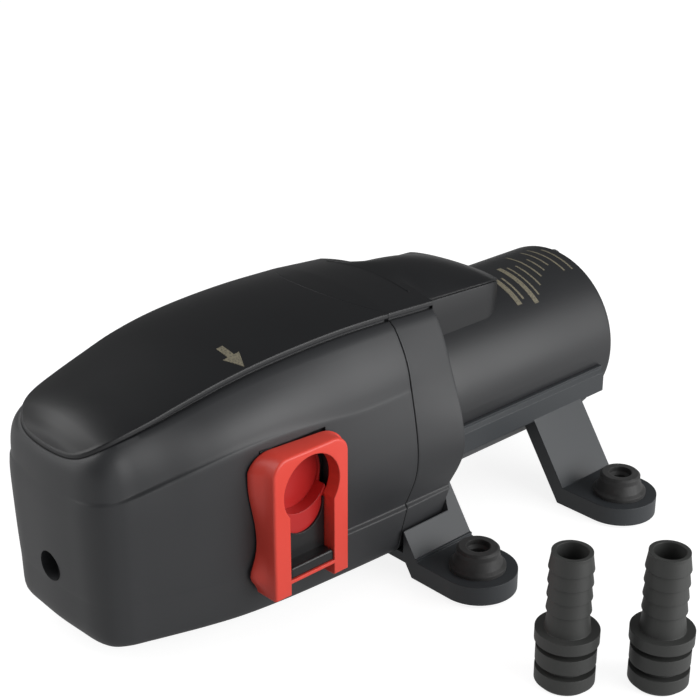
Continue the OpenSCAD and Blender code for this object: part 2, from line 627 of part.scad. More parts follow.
module rear_bearing() {
    bearing(y_rear_boss - bearing_w - 2 - fit);
    color(moulding) difference() {
        axial(bearing_d + 6, y_rear_boss - bearing_w - 1, y_rear_boss);
        axial(bearing_d + 2 * fit, y_rear_boss - bearing_w - 2 - 1, y_rear_boss - 2);
        axial(shaft_d + 4, y_rear_boss - 3, y_rear_boss + 1);
    }
}
magnet_len = armature_len + 4;
magnet_r = armature_d / 2 + air_gap;
y_armature = y_plate1 + 6;
magnet_arc = 124;
module magnets() color("#3a3a3c") for (s = [0, 180])
    translate([0, y_armature - 2, shaft_z]) rotate([-90, s, 0]) rotate([0, 0, -magnet_arc / 2])
        rotate_extrude(angle = magnet_arc)
            translate([magnet_r, 0]) square([can_r - can_wall - fit - magnet_r, magnet_len]);
module motor_bolts() color(steel) for (s = [-1, 1]) translate([0, y_plate0 + 0.5, shaft_z + s * motor_bolt_r])
    rotate([-90, 0, 0]) {
        cylinder(d = bolt_d, h = y_motor_end - y_plate0 - 0.5);
        translate([0, 0, y_motor_end - y_plate0 - 0.5]) difference() {
            cylinder(d = 2 * bolt_d, h = 2);
            translate([-bolt_d, -0.5, 1]) cube([2 * bolt_d, 1, 2]);
        }
    }
y_comm = y_armature + armature_len + 4;
comm_len = 13;
y_brush = y_comm + comm_len / 2;
brush_len = 9;
brush_h = 6;
module brush_plate() color("#7a4a2a") difference() {
    axial(can_d - 2 * can_wall - 2 * fit, y_brush + 5, y_brush + 8);
    axial(commutator_d + 3, y_brush + 4, y_brush + 9);
    motor_bolt_holes(y_brush + 4, y_brush + 9);
}
module brushes() {
    for (s = [0, 1]) mirror([s, 0, 0]) {
        color("#3b3b3b") translate([commutator_d / 2 + 0.1, y_brush - 4, shaft_z - brush_h / 2])
            cube([brush_len, 7.6, brush_h]);
        // the brass box that holds the brush
        color("#c29a52") translate([commutator_d / 2 + 3, y_brush - 5, shaft_z - brush_h / 2 - 1]) difference() {
            cube([15, 10 - fit, brush_h + 2]);
            translate([-1, 0.9, 0.9]) cube([15, 8 - fit, brush_h + 0.2]);
        }
    }
}
module helix_spring(r, wire, len, turns) {
    sides = 6;
    steps = 10;
    n = round(turns * steps);
    pts = [for (i = [0:n], j = [0:sides - 1]) let (a = 360 * i / steps, b = 360 * j / sides,
        q = r + wire / 2 * cos(b)) [q * cos(a), q * sin(a), wire / 2 + (len - wire) * i / n + wire / 2 * sin(b)]];
    polyhedron(pts, [
        for (i = [0:n - 1], j = [0:sides - 1]) let (a = i * sides + j, b = i * sides + (j + 1) % sides)
            each [[a, b + sides, b], [a, a + sides, b + sides]],
        [for (j = [0:sides - 1]) j],
        [for (j = [sides - 1:-1:0]) n * sides + j]]);
}
module brush_springs() color(steel) for (s = [0, 1]) mirror([s, 0, 0])
    translate([commutator_d / 2 + brush_len + 0.2, y_brush - 0.2, shaft_z]) rotate([0, 90, 0])
        helix_spring(2.2, 0.7, 7.5, 4);
y_shaft0 = y_plate0 - 24;
module shaft() color(steel) axial(shaft_d, y_shaft0, y_rear_boss - 2.5);
slots = 12;
module armature() difference() {
    union() {
        color("#6f7276") difference() {
            axial(armature_d, y_armature, y_armature + armature_len);
            for (i = [0:slots - 1]) translate([0, y_armature - 1, shaft_z]) rotate([0, i * 360 / slots, 0])
                translate([armature_d / 2 - 9, 0, -1.4]) cube([12, armature_len + 2, 2.8]);
        }
        color(copper) {
            axial(armature_d - 8, y_armature - 4, y_armature);
            axial(armature_d - 8, y_armature + armature_len, y_armature + armature_len + 3);
        }
    }
    axial(shaft_d + 2 * fit, y_armature - 10, y_armature + armature_len + 10);
}
module commutator() color(copper) difference() {
    axial(commutator_d, y_comm, y_comm + comm_len);
    axial(shaft_d + 2 * fit, y_comm - 1, y_comm + comm_len + 1);
    for (i = [0:slots - 1]) translate([0, y_comm + 2, shaft_z]) rotate([0, i * 360 / slots, 0])
        translate([commutator_d / 2 - 1, 0, -0.4]) cube([4, comm_len, 0.8]);
}

// ---------------------------------------------------------------- drive and pump head
y_wobble = y_shaft0 - 4;
journal_d = 14;
wobble_bearing_d = 30;
wobble_bearing_w = 8;
module tilted() translate([0, y_wobble, shaft_z]) rotate([wobble_tilt, 0, 0]) children();
module along_y(d, y0, y1) translate([0, y0, 0]) rotate([-90, 0, 0]) cylinder(d = d, h = y1 - y0);
module eccentric() color(steel) difference() {
    union() {
        axial(24, y_shaft0 + 8, y_shaft0 + 18);
        tilted() {
            along_y(journal_d, -wobble_bearing_w / 2 - 1, 14);
            along_y(journal_d + 3, wobble_bearing_w / 2 + 0.1, 9);
        }
    }
    axial(shaft_d + 2 * fit, y_shaft0 - 0.1, y_shaft0 + 30);
}
module wobble_bearing() color(steel) tilted() difference() {
    along_y(wobble_bearing_d, -wobble_bearing_w / 2, wobble_bearing_w / 2);
    along_y(journal_d + 2 * fit, -wobble_bearing_w, wobble_bearing_w);
    difference() {
        along_y(wobble_bearing_d - 5, wobble_bearing_w / 2 - 0.6, wobble_bearing_w);
        along_y(journal_d + 5, 0, 2 * wobble_bearing_w);
    }
}
plate_r = piston_pcd_r + piston_d / 2 + 1;
module wobble_plate() color(moulding) tilted() difference() {
    union() {
        along_y(wobble_bearing_d + 5, -wobble_bearing_w / 2 - 2, wobble_bearing_w / 2);
        along_y(2 * plate_r, -wobble_bearing_w / 2 - 4.5, -wobble_bearing_w / 2 - 1.5);
    }
    along_y(wobble_bearing_d + 2 * fit, -wobble_bearing_w / 2, wobble_bearing_w);
    along_y(journal_d + 3, -wobble_bearing_w / 2 - 1.2, 0);
    for (a = piston_angles) rotate([0, a, 0]) translate([piston_pcd_r, 0, 0])
        along_y(piston_pin_d + 2 * fit, y_piston - 1, 0);
}
piston_angles = [30, 150, 270];
piston_h = 4;
piston_pin_d = 2.6;
y_piston = -wobble_bearing_w / 2 - 4.5 - 0.05;
module pistons() color(moulding) tilted() for (a = piston_angles) rotate([0, a, 0]) translate([piston_pcd_r, 0, 0]) {
    along_y(piston_d, y_piston - piston_h, y_piston);
    along_y(piston_pin_d, y_piston - 1, y_piston + 3.4);
}
// Clearance ahead of the pistons for their stroke
stroke_room = (piston_pcd_r + piston_d / 2) * sin(wobble_tilt) + 0.3;
y_dia1 = y_wobble + y_piston - piston_h - stroke_room;
dia_t = 2;
y_valve1 = y_dia1 - dia_t;
valve_plate_t = 6;
y_head1 = y_valve1 - valve_plate_t;
y_head0 = y_port - socket_od / 2 - 4;
y_drive1 = y_plate0 - 0.1;
housing_bolt_r = drive_d / 2 - 4;
bolt_angles = [45, 135, 225, 315];
module bolt_holes(d, y0, y1) for (a = bolt_angles) translate([0, y0, shaft_z]) rotate([0, a, 0])
    translate([housing_bolt_r, 0, 0]) rotate([-90, 0, 0]) cylinder(d = d, h = y1 - y0);
// Depth of the housing bolts' holes behind the diaphragm, and the wall between drive and motor
bolt_depth = 14;
drive_wall = 4;
module drive_housing() color(moulding) difference() {
    axial(drive_d, y_dia1, y_drive1);
    axial(2 * (housing_bolt_r - bolt_d / 2 - 1.4), y_dia1 - 1, y_drive1 - drive_wall);
    axial(bearing_d + drive_wall, y_drive1 - drive_wall - 1, y_drive1 + 1);
    bolt_holes(bolt_d + 2 * fit, y_dia1 - 1, y_dia1 + bolt_depth);
}
module diaphragm() color(rubber_black) difference() {
    axial(drive_d, y_valve1 + 0.02, y_dia1 - 0.02);
    bolt_holes(bolt_d + 2 * fit, y_valve1 - 1, y_dia1 + 1);
}
chamber_depth = 2.5;
module valve_plate() color(moulding) difference() {
    axial(drive_d, y_head1, y_valve1);
    for (a = piston_angles) translate([0, y_valve1 - chamber_depth, shaft_z]) rotate([0, a, 0])
        translate([piston_pcd_r, 0, 0]) {
            along_y(piston_d + 1, 0, chamber_depth + 1);
            for (t = [-2.6, 2.6]) translate([-1, 0, t]) along_y(1.8, -valve_plate_t, 1);
        }
    bolt_holes(bolt_d + 2 * fit, y_head1 - 1, y_valve1 + 1);
    axial(3 + 2 * fit, y_head1 - 1, y_head1 + 3);
    for (a = piston_angles) translate([0, y_valve1 - chamber_depth, shaft_z]) rotate([0, a, 0])
        translate([piston_pcd_r, 0, 0]) along_y(2.2, -2, 1);
}
// Three rubber flaps over the inlet ports, one in each chamber
module inlet_valves() color(rubber_black) for (a = piston_angles)
    translate([0, y_valve1 - chamber_depth, shaft_z]) rotate([0, a, 0]) translate([piston_pcd_r, 0, 0]) {
        along_y(10, 0.02, 0.9);
        along_y(2, -1.9, 0.5);
    }
// One rubber umbrella over the outlet ports, on the other side of the plate
umbrella_d = 26;
module outlet_valve() color(rubber_black) {
    axial(umbrella_d, y_head1 - 0.9, y_head1 - 0.02);
    axial(3, y_head1 - 0.5, y_head1 + 2.9);
}
// ducts between the galleries and the two ports
duct_d = 7;
inlet_duct_x = 19.5;
outlet_duct_x = 10;
gallery_d = umbrella_d + 2;
module valve_head() color(moulding) difference() {
    union() {
        axial(valve_head_d, y_head0, y_head1 - 0.02);
        for (s = [0, 1]) mirror([s, 0, 0]) translate([0, y_port, shaft_z]) rotate([0, 90, 0])
            cylinder(d = socket_od, h = socket_reach);
    }
    for (s = [0, 1]) mirror([s, 0, 0]) translate([0, y_port, shaft_z]) rotate([0, 90, 0]) {
        translate([0, 0, socket_reach - socket_depth]) cylinder(d = socket_d, h = socket_depth + 1);
        translate([0, 0, 6]) cylinder(d = 11, h = socket_reach);
    }
    // outlet gallery in the middle, inlet gallery round it
    axial(gallery_d, y_head1 - 6, y_head1 + 1);
    difference() {
        axial(2 * inlet_duct_x + duct_d, y_head1 - 4, y_head1 + 1);
        axial(gallery_d + 5, y_head1 - 5, y_head1 + 2);
    }
    for (x = [-inlet_duct_x, outlet_duct_x]) translate([x, y_port, shaft_z]) rotate([-90, 0, 0])
        cylinder(d = duct_d, h = y_head1 - y_port - 2);
    translate([0, y_head0 - 1, switch_z]) rotate([-90, 0, 0]) cylinder(d = 4, h = 14);
    bolt_holes(bolt_d + 2 * fit, y_head0 - 1, y_head1 + 1);
}
module housing_bolts() color(steel) for (a = bolt_angles) translate([0, y_head0, shaft_z]) rotate([0, a, 0])
    translate([housing_bolt_r, 0, 0]) rotate([-90, 0, 0]) {
        cylinder(d = bolt_d, h = y_dia1 + bolt_depth - 2 - y_head0);
        translate([0, 0, -2.4]) difference() {
            cylinder(d = 1.8 * bolt_d, h = 2.4);
            translate([0, 0, -1]) cylinder(d = bolt_d, h = 2.2, $fn = 6);
        }
    }

// ---------------------------------------------------------------- pressure switch
switch_z = access_z;
switch_len = 24;
y_switch1 = y_head0;
y_switch0 = y_switch1 - switch_len;
plunger_d = 8;
module switch_along(y0) translate([0, y0, switch_z]) rotate([-90, 0, 0]) children();
module switch_body() color("#8e9296") difference() {
    union() {
        switch_along(y_switch0) cylinder(d = switch_d, h = switch_len - 0.05);
        switch_along(y_switch0 - 5) cylinder(d = 12, h = 6);
        translate([-5, y_switch0 + 2, switch_z + switch_d / 2 - 3]) cube([10, 16, 8]);
    }
    switch_along(y_switch0 + 3) cylinder(d = plunger_d + 2 + 2 * fit, h = switch_len);
    switch_along(y_switch0 - 6) cylinder(d = 5 + 2 * fit, h = 12);
    switch_along(y_switch1 - 4) cylinder(d = 18, h = 5);
}
plunger_len = 7;
module switch_plunger() color("#e6e2d4") switch_along(y_switch1 - plunger_len - 1.5) {
    cylinder(d = plunger_d + 2, h = 3);
    cylinder(d = 4, h = plunger_len);
}
module switch_spring() color(steel) switch_along(y_switch0 + 5.1)
    helix_spring(3.4, 0.9, switch_len - plunger_len - 1.5 - 5.2, 5);
module adjust_screw() color("#c29a52") switch_along(y_switch0 - 8) difference() {
    union() {
        cylinder(d = 5, h = 12.4);
        translate([0, 0, 11.1]) cylinder(d = 8.6, h = 1.8);
        cylinder(d = 7, h = 2.5);
    }
    translate([-4, -0.5, -0.1]) cube([8, 1, 1.3]);
}

// ---------------------------------------------------------------- ports: frame, clip, plug
port_z = shaft_z;
keyhole_z = port_z + clip_travel;
clip_z1 = keyhole_z + clip_hole_d / 2 + 2.2;
clip_z0 = clip_z1 - clip_h;
face_x = clip_reach;
plate_x0 = face_x - clip_t;
wall_x = px(rib(9.2)[0] * lines_w / head_w);
skirt_x0 = wall_x + gap;
bar_z0 = clip_z0 + 6;
bar_h = 3;
cross_bar_h = 1.2;
head_disc_d = 23;
module at_port() translate([0, y_port, 0]) children();

// The wall's lean along the pump at the port: it is wider towards the collar
wall_slope = (rib(9.7)[0] - rib(8.7)[0]) / (rib(9.7)[1] - rib(8.7)[1]);

// The frame fills the window in the head and guides the clip
frame_x0 = socket_reach + gap;
module port_frame() color(rubber_black) at_port() difference() {
    union() {
        translate([frame_x0, -window_w / 2 + gap, window_z0 + gap])
            cube([skirt_x0 - gap - wall_slope * clip_w / 2 - frame_x0, window_w - 2 * gap,
                window_z1 - window_z0 - 2 * gap]);
        // cradle round the lower half of the port
        translate([frame_x0, 0, port_z]) rotate([0, 90, 0]) intersection() {
            cylinder(d = clip_w - 2 * skirt_t - 2 * gap, h = plate_x0 - gap - frame_x0);
            translate([-2, -clip_w / 2, 0]) cube([clip_w, clip_w, clip_reach]);
        }
        // slot filler and thumb bar
        translate([frame_x0, -clip_slot_w / 2 + gap, bar_z0 + bar_h + 2.4])
            cube([plate_x0 - gap - frame_x0, clip_slot_w - 2 * gap, port_z - bar_z0 - bar_h - 3]);
        translate([frame_x0, -clip_slot_w / 2 + gap, bar_z0])
            cube([face_x - 0.5 - frame_x0, clip_slot_w - 2 * gap, bar_h]);
    }
    translate([frame_x0 - 1, 0, port_z]) rotate([0, 90, 0]) cylinder(d = head_disc_d + 2 * gap, h = clip_reach);
    // room for the plug's finger pull
    translate([frame_x0 - 1, 0, keyhole_z]) rotate([0, 90, 0]) cylinder(d = pull_d + 2 * gap, h = clip_reach);
    translate([frame_x0 - 1, -head_disc_d / 2 - gap, port_z])
        cube([clip_reach, head_disc_d + 2 * gap, keyhole_z - port_z]);
}
module outlet_port_frame() port_frame();
module inlet_port_frame() mirror([1, 0, 0]) port_frame();

// The clip's outline, flared by f at its finger grips: the right half from the bottom up, then the left
clip_corner = 6;
function clip_side(f) = let (w = clip_w / 2, h = clip_h) [
    [w, 0], [w + f * 0.4, 3], [w + f, 6.5], [w + f * 0.5, 11],
    [w, 18], [w + f * 0.2, 26], [w + f * 0.8, 35], [w + f, 40],
    for (a = [0:15:90]) [w + f * (1 - a / 90) - clip_corner * (1 - cos(a)), h - clip_corner * (1 - sin(a))]];
function inner_side() = let (w = clip_w / 2, q = clip_corner - skirt_t) [
    for (p = clip_side(0)) if (p[1] <= clip_h - clip_corner - 0.1) [w - skirt_t, p[1]],
    for (a = [0:15:90]) [w - clip_corner + q * cos(a), clip_h - clip_corner + q * sin(a)]];
function both_y(r) = concat(r, [for (i = [len(r) - 1:-1:0]) [-r[i][0], r[i][1]]]);
function skirt_ring(x, f, slope) = [for (p = concat(both_y(clip_side(f)), both_y(inner_side())))
    [x + slope * p[0], p[0], clip_z0 + p[1]]];
// The skirts behind the face plate: an upturned U, flared, its rear edge along the head's wall
module clip_skirt() {
    rings = [skirt_ring(skirt_x0, clip_flare, wall_slope), skirt_ring(skirt_x0 + 1.4, clip_flare * 0.8, wall_slope),
        skirt_ring(plate_x0 + 0.6, clip_flare * 0.2, 0)];
    n = len(rings);
    cols = len(rings[0]);
    half = cols / 2;
    polyhedron([for (r = rings, p = r) p], [
        for (i = [0:n - 2], j = [0:half - 2]) let (a = i * cols + j, b = a + 1, c = a + half, d = b + half)
            each [[a, b + cols, b], [a, a + cols, b + cols], [c, d, d + cols], [c, d + cols, c + cols]],
        for (i = [0:n - 2]) let (a = i * cols + half, b = i * cols, c = a - 1, d = a + half - 1)
            each [[a, b + cols, b], [a, a + cols, b + cols], [c, d + cols, d], [c, c + cols, d + cols]],
        for (j = [0:half - 2]) each [[j, j + 1, j + 1 + half], [j, j + 1 + half, j + half]],
        for (j = [0:half - 2]) let (a = (n - 1) * cols + j)
            each [[a, a + 1 + half, a + 1], [a, a + half, a + 1 + half]]]);
}
module clip_plate(x0, x1, f) translate([x0, 0, clip_z0]) rotate([90, 0, 90]) linear_extrude(x1 - x0)
    polygon(both_y(clip_side(f)));
module port_clip() color(clip_red) at_port() {
    clip_skirt();
    difference() {
        union() {
            clip_plate(plate_x0, face_x - 0.8, clip_flare * 0.15);
            clip_plate(face_x - 1, face_x, -0.3);
        }
        translate([plate_x0 - 1, 0, keyhole_z]) rotate([0, 90, 0]) cylinder(d = clip_hole_d, h = clip_reach);
        // slot down to the cross bar, and open below it
        translate([plate_x0 - 1, -clip_slot_w / 2, bar_z0 - gap])
            cube([clip_reach, clip_slot_w, keyhole_z - bar_z0 + gap]);
        translate([plate_x0 - 1, -clip_slot_w / 2, clip_z0 - 1])
            cube([clip_reach, clip_slot_w, bar_z0 - gap - cross_bar_h - clip_z0 + 1]);
    }
}
module outlet_clip() port_clip();
module inlet_clip() mirror([1, 0, 0]) port_clip();

// A hollow transport plug: ringed stem in the socket, round head behind the clip and a scooped finger pull
plug_x0 = frame_x0;
plug_x1 = plate_x0 - gap;
pull_x1 = skirt_x0 - gap - wall_slope * clip_hole_d / 2;
pull_d = clip_hole_d - 0.4;
ring_h = 4;
groove = 3.2;
stem_d = tail_neck_d;
stem_len = 14;
module port_plug() color(clip_red) translate([0, y_port, port_z]) rotate([0, 90, 0]) difference() {
    union() {
        translate([0, 0, plug_x0]) cylinder(d = head_disc_d, h = plug_x1 - plug_x0);
        translate([-clip_travel, 0, plug_x0]) cylinder(d = pull_d, h = pull_x1 - plug_x0);
        translate([-clip_travel, -head_disc_d / 2, plug_x0]) cube([clip_travel, head_disc_d, pull_x1 - plug_x0]);
        translate([0, 0, plug_x0 - stem_len]) cylinder(d = stem_d, h = stem_len + 0.5);
        for (x = [plug_x0 - stem_len, plug_x0 - stem_len + ring_h + groove]) translate([0, 0, x])
            cylinder(d = socket_d - 0.6, h = ring_h);
    }
    translate([0, 0, plug_x0 - stem_len + ring_h]) cylinder(d = tail_bore_d, h = clip_reach);
    // scoop in line with the clip's round hole
    translate([-clip_travel, 0, plug_x0 + 0.8]) cylinder(d = clip_hole_d - 1.6, h = clip_reach);
}
module outlet_plug() port_plug();
module inlet_plug() mirror([1, 0, 0]) port_plug();
seal_d = (socket_d - stem_d - 0.2) / 2;
module plug_seals() color(rubber_black) translate([0, y_port, port_z]) rotate([0, 90, 0])
    translate([0, 0, plug_x0 - stem_len + ring_h + groove / 2]) rotate_extrude()
        translate([stem_d / 2 + fit + seal_d / 2, 0]) circle(d = seal_d, $fn = 32);
module outlet_plug_seals() plug_seals();
module inlet_plug_seals() mirror([1, 0, 0]) plug_seals();

// ---------------------------------------------------------------- hose tails
tail_places = [[foot_pitch_x / 2 + 56.7, -60.2], [foot_pitch_x / 2 + 77.2, -38.2]];
spigot_h = 6.3;
neck_h = 2.3;
flange_h = 4.1;
module hose_tail(x, y) color(tail_grey) translate([x, y, 0]) rotate_extrude($fn = 96) {
    z1 = spigot_h;
    z2 = z1 + neck_h;
    z3 = z2 + spigot_h - 1;
    z4 = z3 + neck_h;
    z5 = z4 + flange_h;
    z6 = tail_len - barb_count * barb_pitch - 1;
    polygon([[tail_bore_d / 2, 0], [tail_ring_d / 2 - 1.5, 0], [tail_ring_d / 2, 1.5], [tail_ring_d / 2, z1],
        [tail_neck_d / 2, z1], [tail_neck_d / 2, z2], [tail_ring_d / 2, z2], [tail_ring_d / 2, z3],
        [tail_neck_d / 2, z3], [tail_neck_d / 2, z4], [tail_flange_d / 2, z4], [tail_flange_d / 2, z5],
        [barb_d / 2 + 0.15, z5], [barb_root_d / 2, z6],
        for (i = [0:barb_count - 1]) each [[barb_d / 2, z6 + i * barb_pitch + 0.3],
            [barb_root_d / 2, z6 + (i + 1) * barb_pitch]],
        [barb_root_d / 2, tail_len], [tail_bore_d / 2, tail_len]]);
}
module hose_tail_a() hose_tail(tail_places[0][0], tail_places[0][1]);
module hose_tail_b() hose_tail(tail_places[1][0], tail_places[1][1]);

// A rubber gland in the back of the collar, where the supply lead enters
lead_gland_d = 8;
lead_place = 38.6;
lead_x = -lead_place * collar_w / collar_lines_w;
lead_z = shaft_z + 12;
module lead_hole(d) translate([lead_x, y_collar_end - shell_wall - 3, lead_z]) rotate([-90, 0, 0])
    cylinder(d = d, h = 8);
module lead_gland() color(rubber_black) translate([lead_x, y_collar_end, lead_z]) rotate([-90, 0, 0]) difference() {
    union() {
        translate([0, 0, -shell_wall - 1]) cylinder(d = lead_gland_d, h = shell_wall + 1.05);
        translate([0, 0, 0.05]) cylinder(d1 = lead_gland_d + 2, d2 = lead_gland_d, h = 1.6);
    }
    translate([0, 0, -10]) cylinder(d = 5, h = 20);
}

head_shell();
front_cover();
rear_cover();
collar();
front_bracket();
motor_cradle();
motor_can();
motor_end_plate();
front_bearing();
rear_bearing();
magnets();
motor_bolts();
brush_plate();
brushes();
brush_springs();
shaft();
armature();
commutator();
eccentric();
wobble_bearing();
wobble_plate();
pistons();
drive_housing();
diaphragm();
valve_plate();
inlet_valves();
outlet_valve();
valve_head();
housing_bolts();
switch_body();
switch_plunger();
switch_spring();
adjust_screw();
outlet_port_frame();
inlet_port_frame();
outlet_clip();
inlet_clip();
outlet_plug();
inlet_plug();
outlet_plug_seals();
inlet_plug_seals();
grommet_front_left();
grommet_front_right();
grommet_rear_left();
grommet_rear_right();
hose_tail_a();
hose_tail_b();
base_screws();
lead_gland();
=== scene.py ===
"""Looks of a self-priming diaphragm water pump with two loose hose tails.

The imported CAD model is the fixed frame. The moulded shells, the covers, the port clips and their
plugs are rebuilt here with finer surfaces; every other piece keeps its CAD mesh and gets a finish.
Lengths in the classes below are millimetres in the model's own frame; Blender works in metres.
"""
import logging
import math
from dataclasses import dataclass
from enum import Enum
from typing import Callable, Sequence

import bmesh
import bpy
from mathutils import Matrix, Vector


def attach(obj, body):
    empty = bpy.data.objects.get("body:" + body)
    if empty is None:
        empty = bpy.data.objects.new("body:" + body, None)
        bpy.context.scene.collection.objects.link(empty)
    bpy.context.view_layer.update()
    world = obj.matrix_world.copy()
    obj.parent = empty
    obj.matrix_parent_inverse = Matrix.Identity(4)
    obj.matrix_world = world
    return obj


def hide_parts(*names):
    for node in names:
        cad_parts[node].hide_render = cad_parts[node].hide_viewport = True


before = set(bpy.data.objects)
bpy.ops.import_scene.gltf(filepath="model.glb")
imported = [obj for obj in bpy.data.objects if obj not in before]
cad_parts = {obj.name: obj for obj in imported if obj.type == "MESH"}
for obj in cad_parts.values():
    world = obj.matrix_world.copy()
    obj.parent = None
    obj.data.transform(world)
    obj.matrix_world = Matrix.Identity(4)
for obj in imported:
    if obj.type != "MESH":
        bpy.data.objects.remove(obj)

MM = 0.001
LOG = logging.getLogger("pump")
CAN_R = 34.4  # outer radius of the motor can

Point = tuple[float, float, float]
Socket = bpy.types.NodeSocket
Object = bpy.types.Object


# ---- small maths
def mix(a: float, b: float, t: float) -> float:
    """Returns the value at share t between a and b."""
    return a * (1 - t) + b * t


def mix_points(a: Sequence[float], b: Sequence[float], t: float) -> tuple[float, ...]:
    """Returns the point at share t between points a and b."""
    return tuple(mix(p, q, t) for p, q in zip(a, b))


def ramp(value: float, low: float, high: float) -> float:
    """Returns a smooth step from 0 at low to 1 at high."""
    t = min(1.0, max(0.0, (value - low) / (high - low)))
    return t * t * (3 - 2 * t)


def span(low: float, high: float, count: int) -> list[float]:
    """Returns count + 1 evenly spaced values from low to high."""
    return [low + (high - low) * i / count for i in range(count + 1)]


def linear_colour(hex_code: str) -> tuple[float, float, float, float]:
    """Turns an sRGB hex code such as '#2b2c2d' into the linear colour that nodes use."""
    code = hex_code.lstrip("#")
    parts = [int(code[i:i + 2], 16) / 255 for i in (0, 2, 4)]
    return (*[c / 12.92 if c <= 0.04045 else ((c + 0.055) / 1.055) ** 2.4 for c in parts], 1.0)


# ---- node graphs
class NodeGraph:
    """A material's or the world's node tree, with short calls that add a node and wire it up."""

    def __init__(self, owner: bpy.types.Material | bpy.types.World) -> None:
        self.owner = owner
        owner.use_nodes = True
        self.tree = owner.node_tree
        self.tree.nodes.clear()

    @classmethod
    def material(cls, name: str) -> "NodeGraph":
        """Starts the graph of a new material."""
        return cls(bpy.data.materials.new(name))

    def add(self, kind: str, settings: dict | None = None, inputs: dict | None = None) -> bpy.types.Node:
        """Adds a node.

        Args:
            kind: The node's type, such as "ShaderNodeTexNoise".
            settings: Attributes to set on the node.
            inputs: Socket name to a value, or to the output socket that feeds it.

        Returns:
            The new node.
        """
        node = self.tree.nodes.new(kind)
        for key, value in (settings or {}).items():
            setattr(node, key, value)
        for key, value in (inputs or {}).items():
            if isinstance(value, Socket):
                self.tree.links.new(value, node.inputs[key])
            else:
                node.inputs[key].default_value = value
        return node

    def math(self, operation: str, *values: float | Socket) -> Socket:
        """Adds arithmetic on two or three values and returns its result."""
        return self.add("ShaderNodeMath", {"operation": operation}, dict(enumerate(values))).outputs[0]

    def noise(self, size_mm: float, detail: float = 3.0, where: Socket | None = None) -> Socket:
        """Adds noise whose features are size_mm across and returns its value."""
        where = where or self.add("ShaderNodeTexCoord").outputs["Object"]
        return self.add("ShaderNodeTexNoise", {}, {
            "Vector": where, "Scale": 1 / (size_mm * MM), "Detail": detail}).outputs["Fac"]

    def remap(self, value: Socket, low: float, high: float,
              from_low: float = 0.3, from_high: float = 0.7) -> Socket:
        """Maps a value from its usual range to low..high."""
        return self.add("ShaderNodeMapRange", {}, {
            "Value": value, "From Min": from_low, "From Max": from_high,
            "To Min": low, "To Max": high}).outputs["Result"]

    def blend(self, share: Socket, a: str, b: str) -> Socket:
        """Blends two sRGB hex colours by share."""
        return self.add("ShaderNodeMix", {"data_type": "RGBA"}, {
            0: share, 6: linear_colour(a), 7: linear_colour(b)}).outputs[2]

    def soft_edges(self, radius_mm: float) -> Socket:
        """Returns a normal that rounds every sharp edge by radius_mm."""
        return self.add("ShaderNodeBevel", {"samples": 6}, {"Radius": radius_mm * MM}).outputs["Normal"]

    def bump(self, height: Socket, depth_mm: float, under: Socket) -> Socket:
        """Adds relief of depth_mm over the normal given in under."""
        return self.add("ShaderNodeBump", {}, {
            "Height": height, "Distance": depth_mm * MM, "Normal": under}).outputs["Normal"]

    def surface(self, inputs: dict) -> bpy.types.Material:
        """Ends the graph in one principled surface."""
        shader = self.add("ShaderNodeBsdfPrincipled", {}, inputs)
        return self.end(shader.outputs["BSDF"])

    def end(self, surface: Socket, kind: str = "ShaderNodeOutputMaterial") -> bpy.types.ID:
        """Ends the graph in a finished surface."""
        self.add(kind, {}, {"Surface": surface})
        return self.owner


# ---- finishes
@dataclass(frozen=True)
class MouldedPlastic:
    """Injection-moulded plastic: a fine spark-eroded grain that spreads highlights into soft bands.

    Attributes:
        name: Material name.
        colour: Mean sRGB hex colour.
        worn: sRGB hex colour of the paler patches that handling leaves.
        roughness: Mean roughness; it wanders by a tenth over a few centimetres.
        grain_mm: Width of one grain of the mould's texture.
        grain_depth_mm: Relief of that grain.
        edge_mm: Radius seen on moulded edges.
    """
    name: str
    colour: str
    worn: str
    roughness: float
    grain_mm: float = 0.35
    grain_depth_mm: float = 0.004
    edge_mm: float = 0.4

    def build(self) -> bpy.types.Material:
        """Builds the node material."""
        g = NodeGraph.material(self.name)
        grain = g.noise(self.grain_mm, 2.0)
        patches = g.noise(38.0, 4.0)
        edges = g.soft_edges(self.edge_mm)
        return g.surface({
            "Base Color": g.blend(g.remap(patches, 0.0, 0.35), self.colour, self.worn),
            "Roughness": g.remap(patches, self.roughness - 0.03, self.roughness + 0.03),
            "Normal": g.bump(grain, self.grain_depth_mm, edges)})


@dataclass(frozen=True)
class Rubber:
    """Moulded rubber: nearly black, with a dry bloom that kills sharp highlights."""
    name: str
    colour: str
    bloom: str
    roughness: float = 0.55

    def build(self) -> bpy.types.Material:
        """Builds the node material."""
        g = NodeGraph.material(self.name)
        dust = g.noise(2.6, 5.0)
        return g.surface({
            "Base Color": g.blend(g.remap(dust, 0.0, 0.6), self.colour, self.bloom),
            "Roughness": g.remap(dust, self.roughness - 0.06, self.roughness + 0.08),
            "Sheen Weight": 0.12,
            "Normal": g.bump(g.noise(0.6), 0.008, g.soft_edges(0.5))})


@dataclass(frozen=True)
class PaintedSteel:
    """Satin enamel over a drawn steel can: faint orange peel and a slow change of gloss."""
    name: str
    colour: str
    worn: str
    roughness: float

    def build(self) -> bpy.types.Material:
        """Builds the node material."""
        g = NodeGraph.material(self.name)
        peel = g.noise(1.4, 2.0)
        slow = g.noise(45.0, 3.0)
        return g.surface({
            "Base Color": g.blend(g.remap(slow, 0.0, 0.3), self.colour, self.worn),
            "Roughness": g.remap(slow, self.roughness - 0.03, self.roughness + 0.04),
            "Coat Weight": 0.06,
            "Coat Roughness": 0.25,
            "Normal": g.bump(peel, 0.006, g.soft_edges(0.4))})


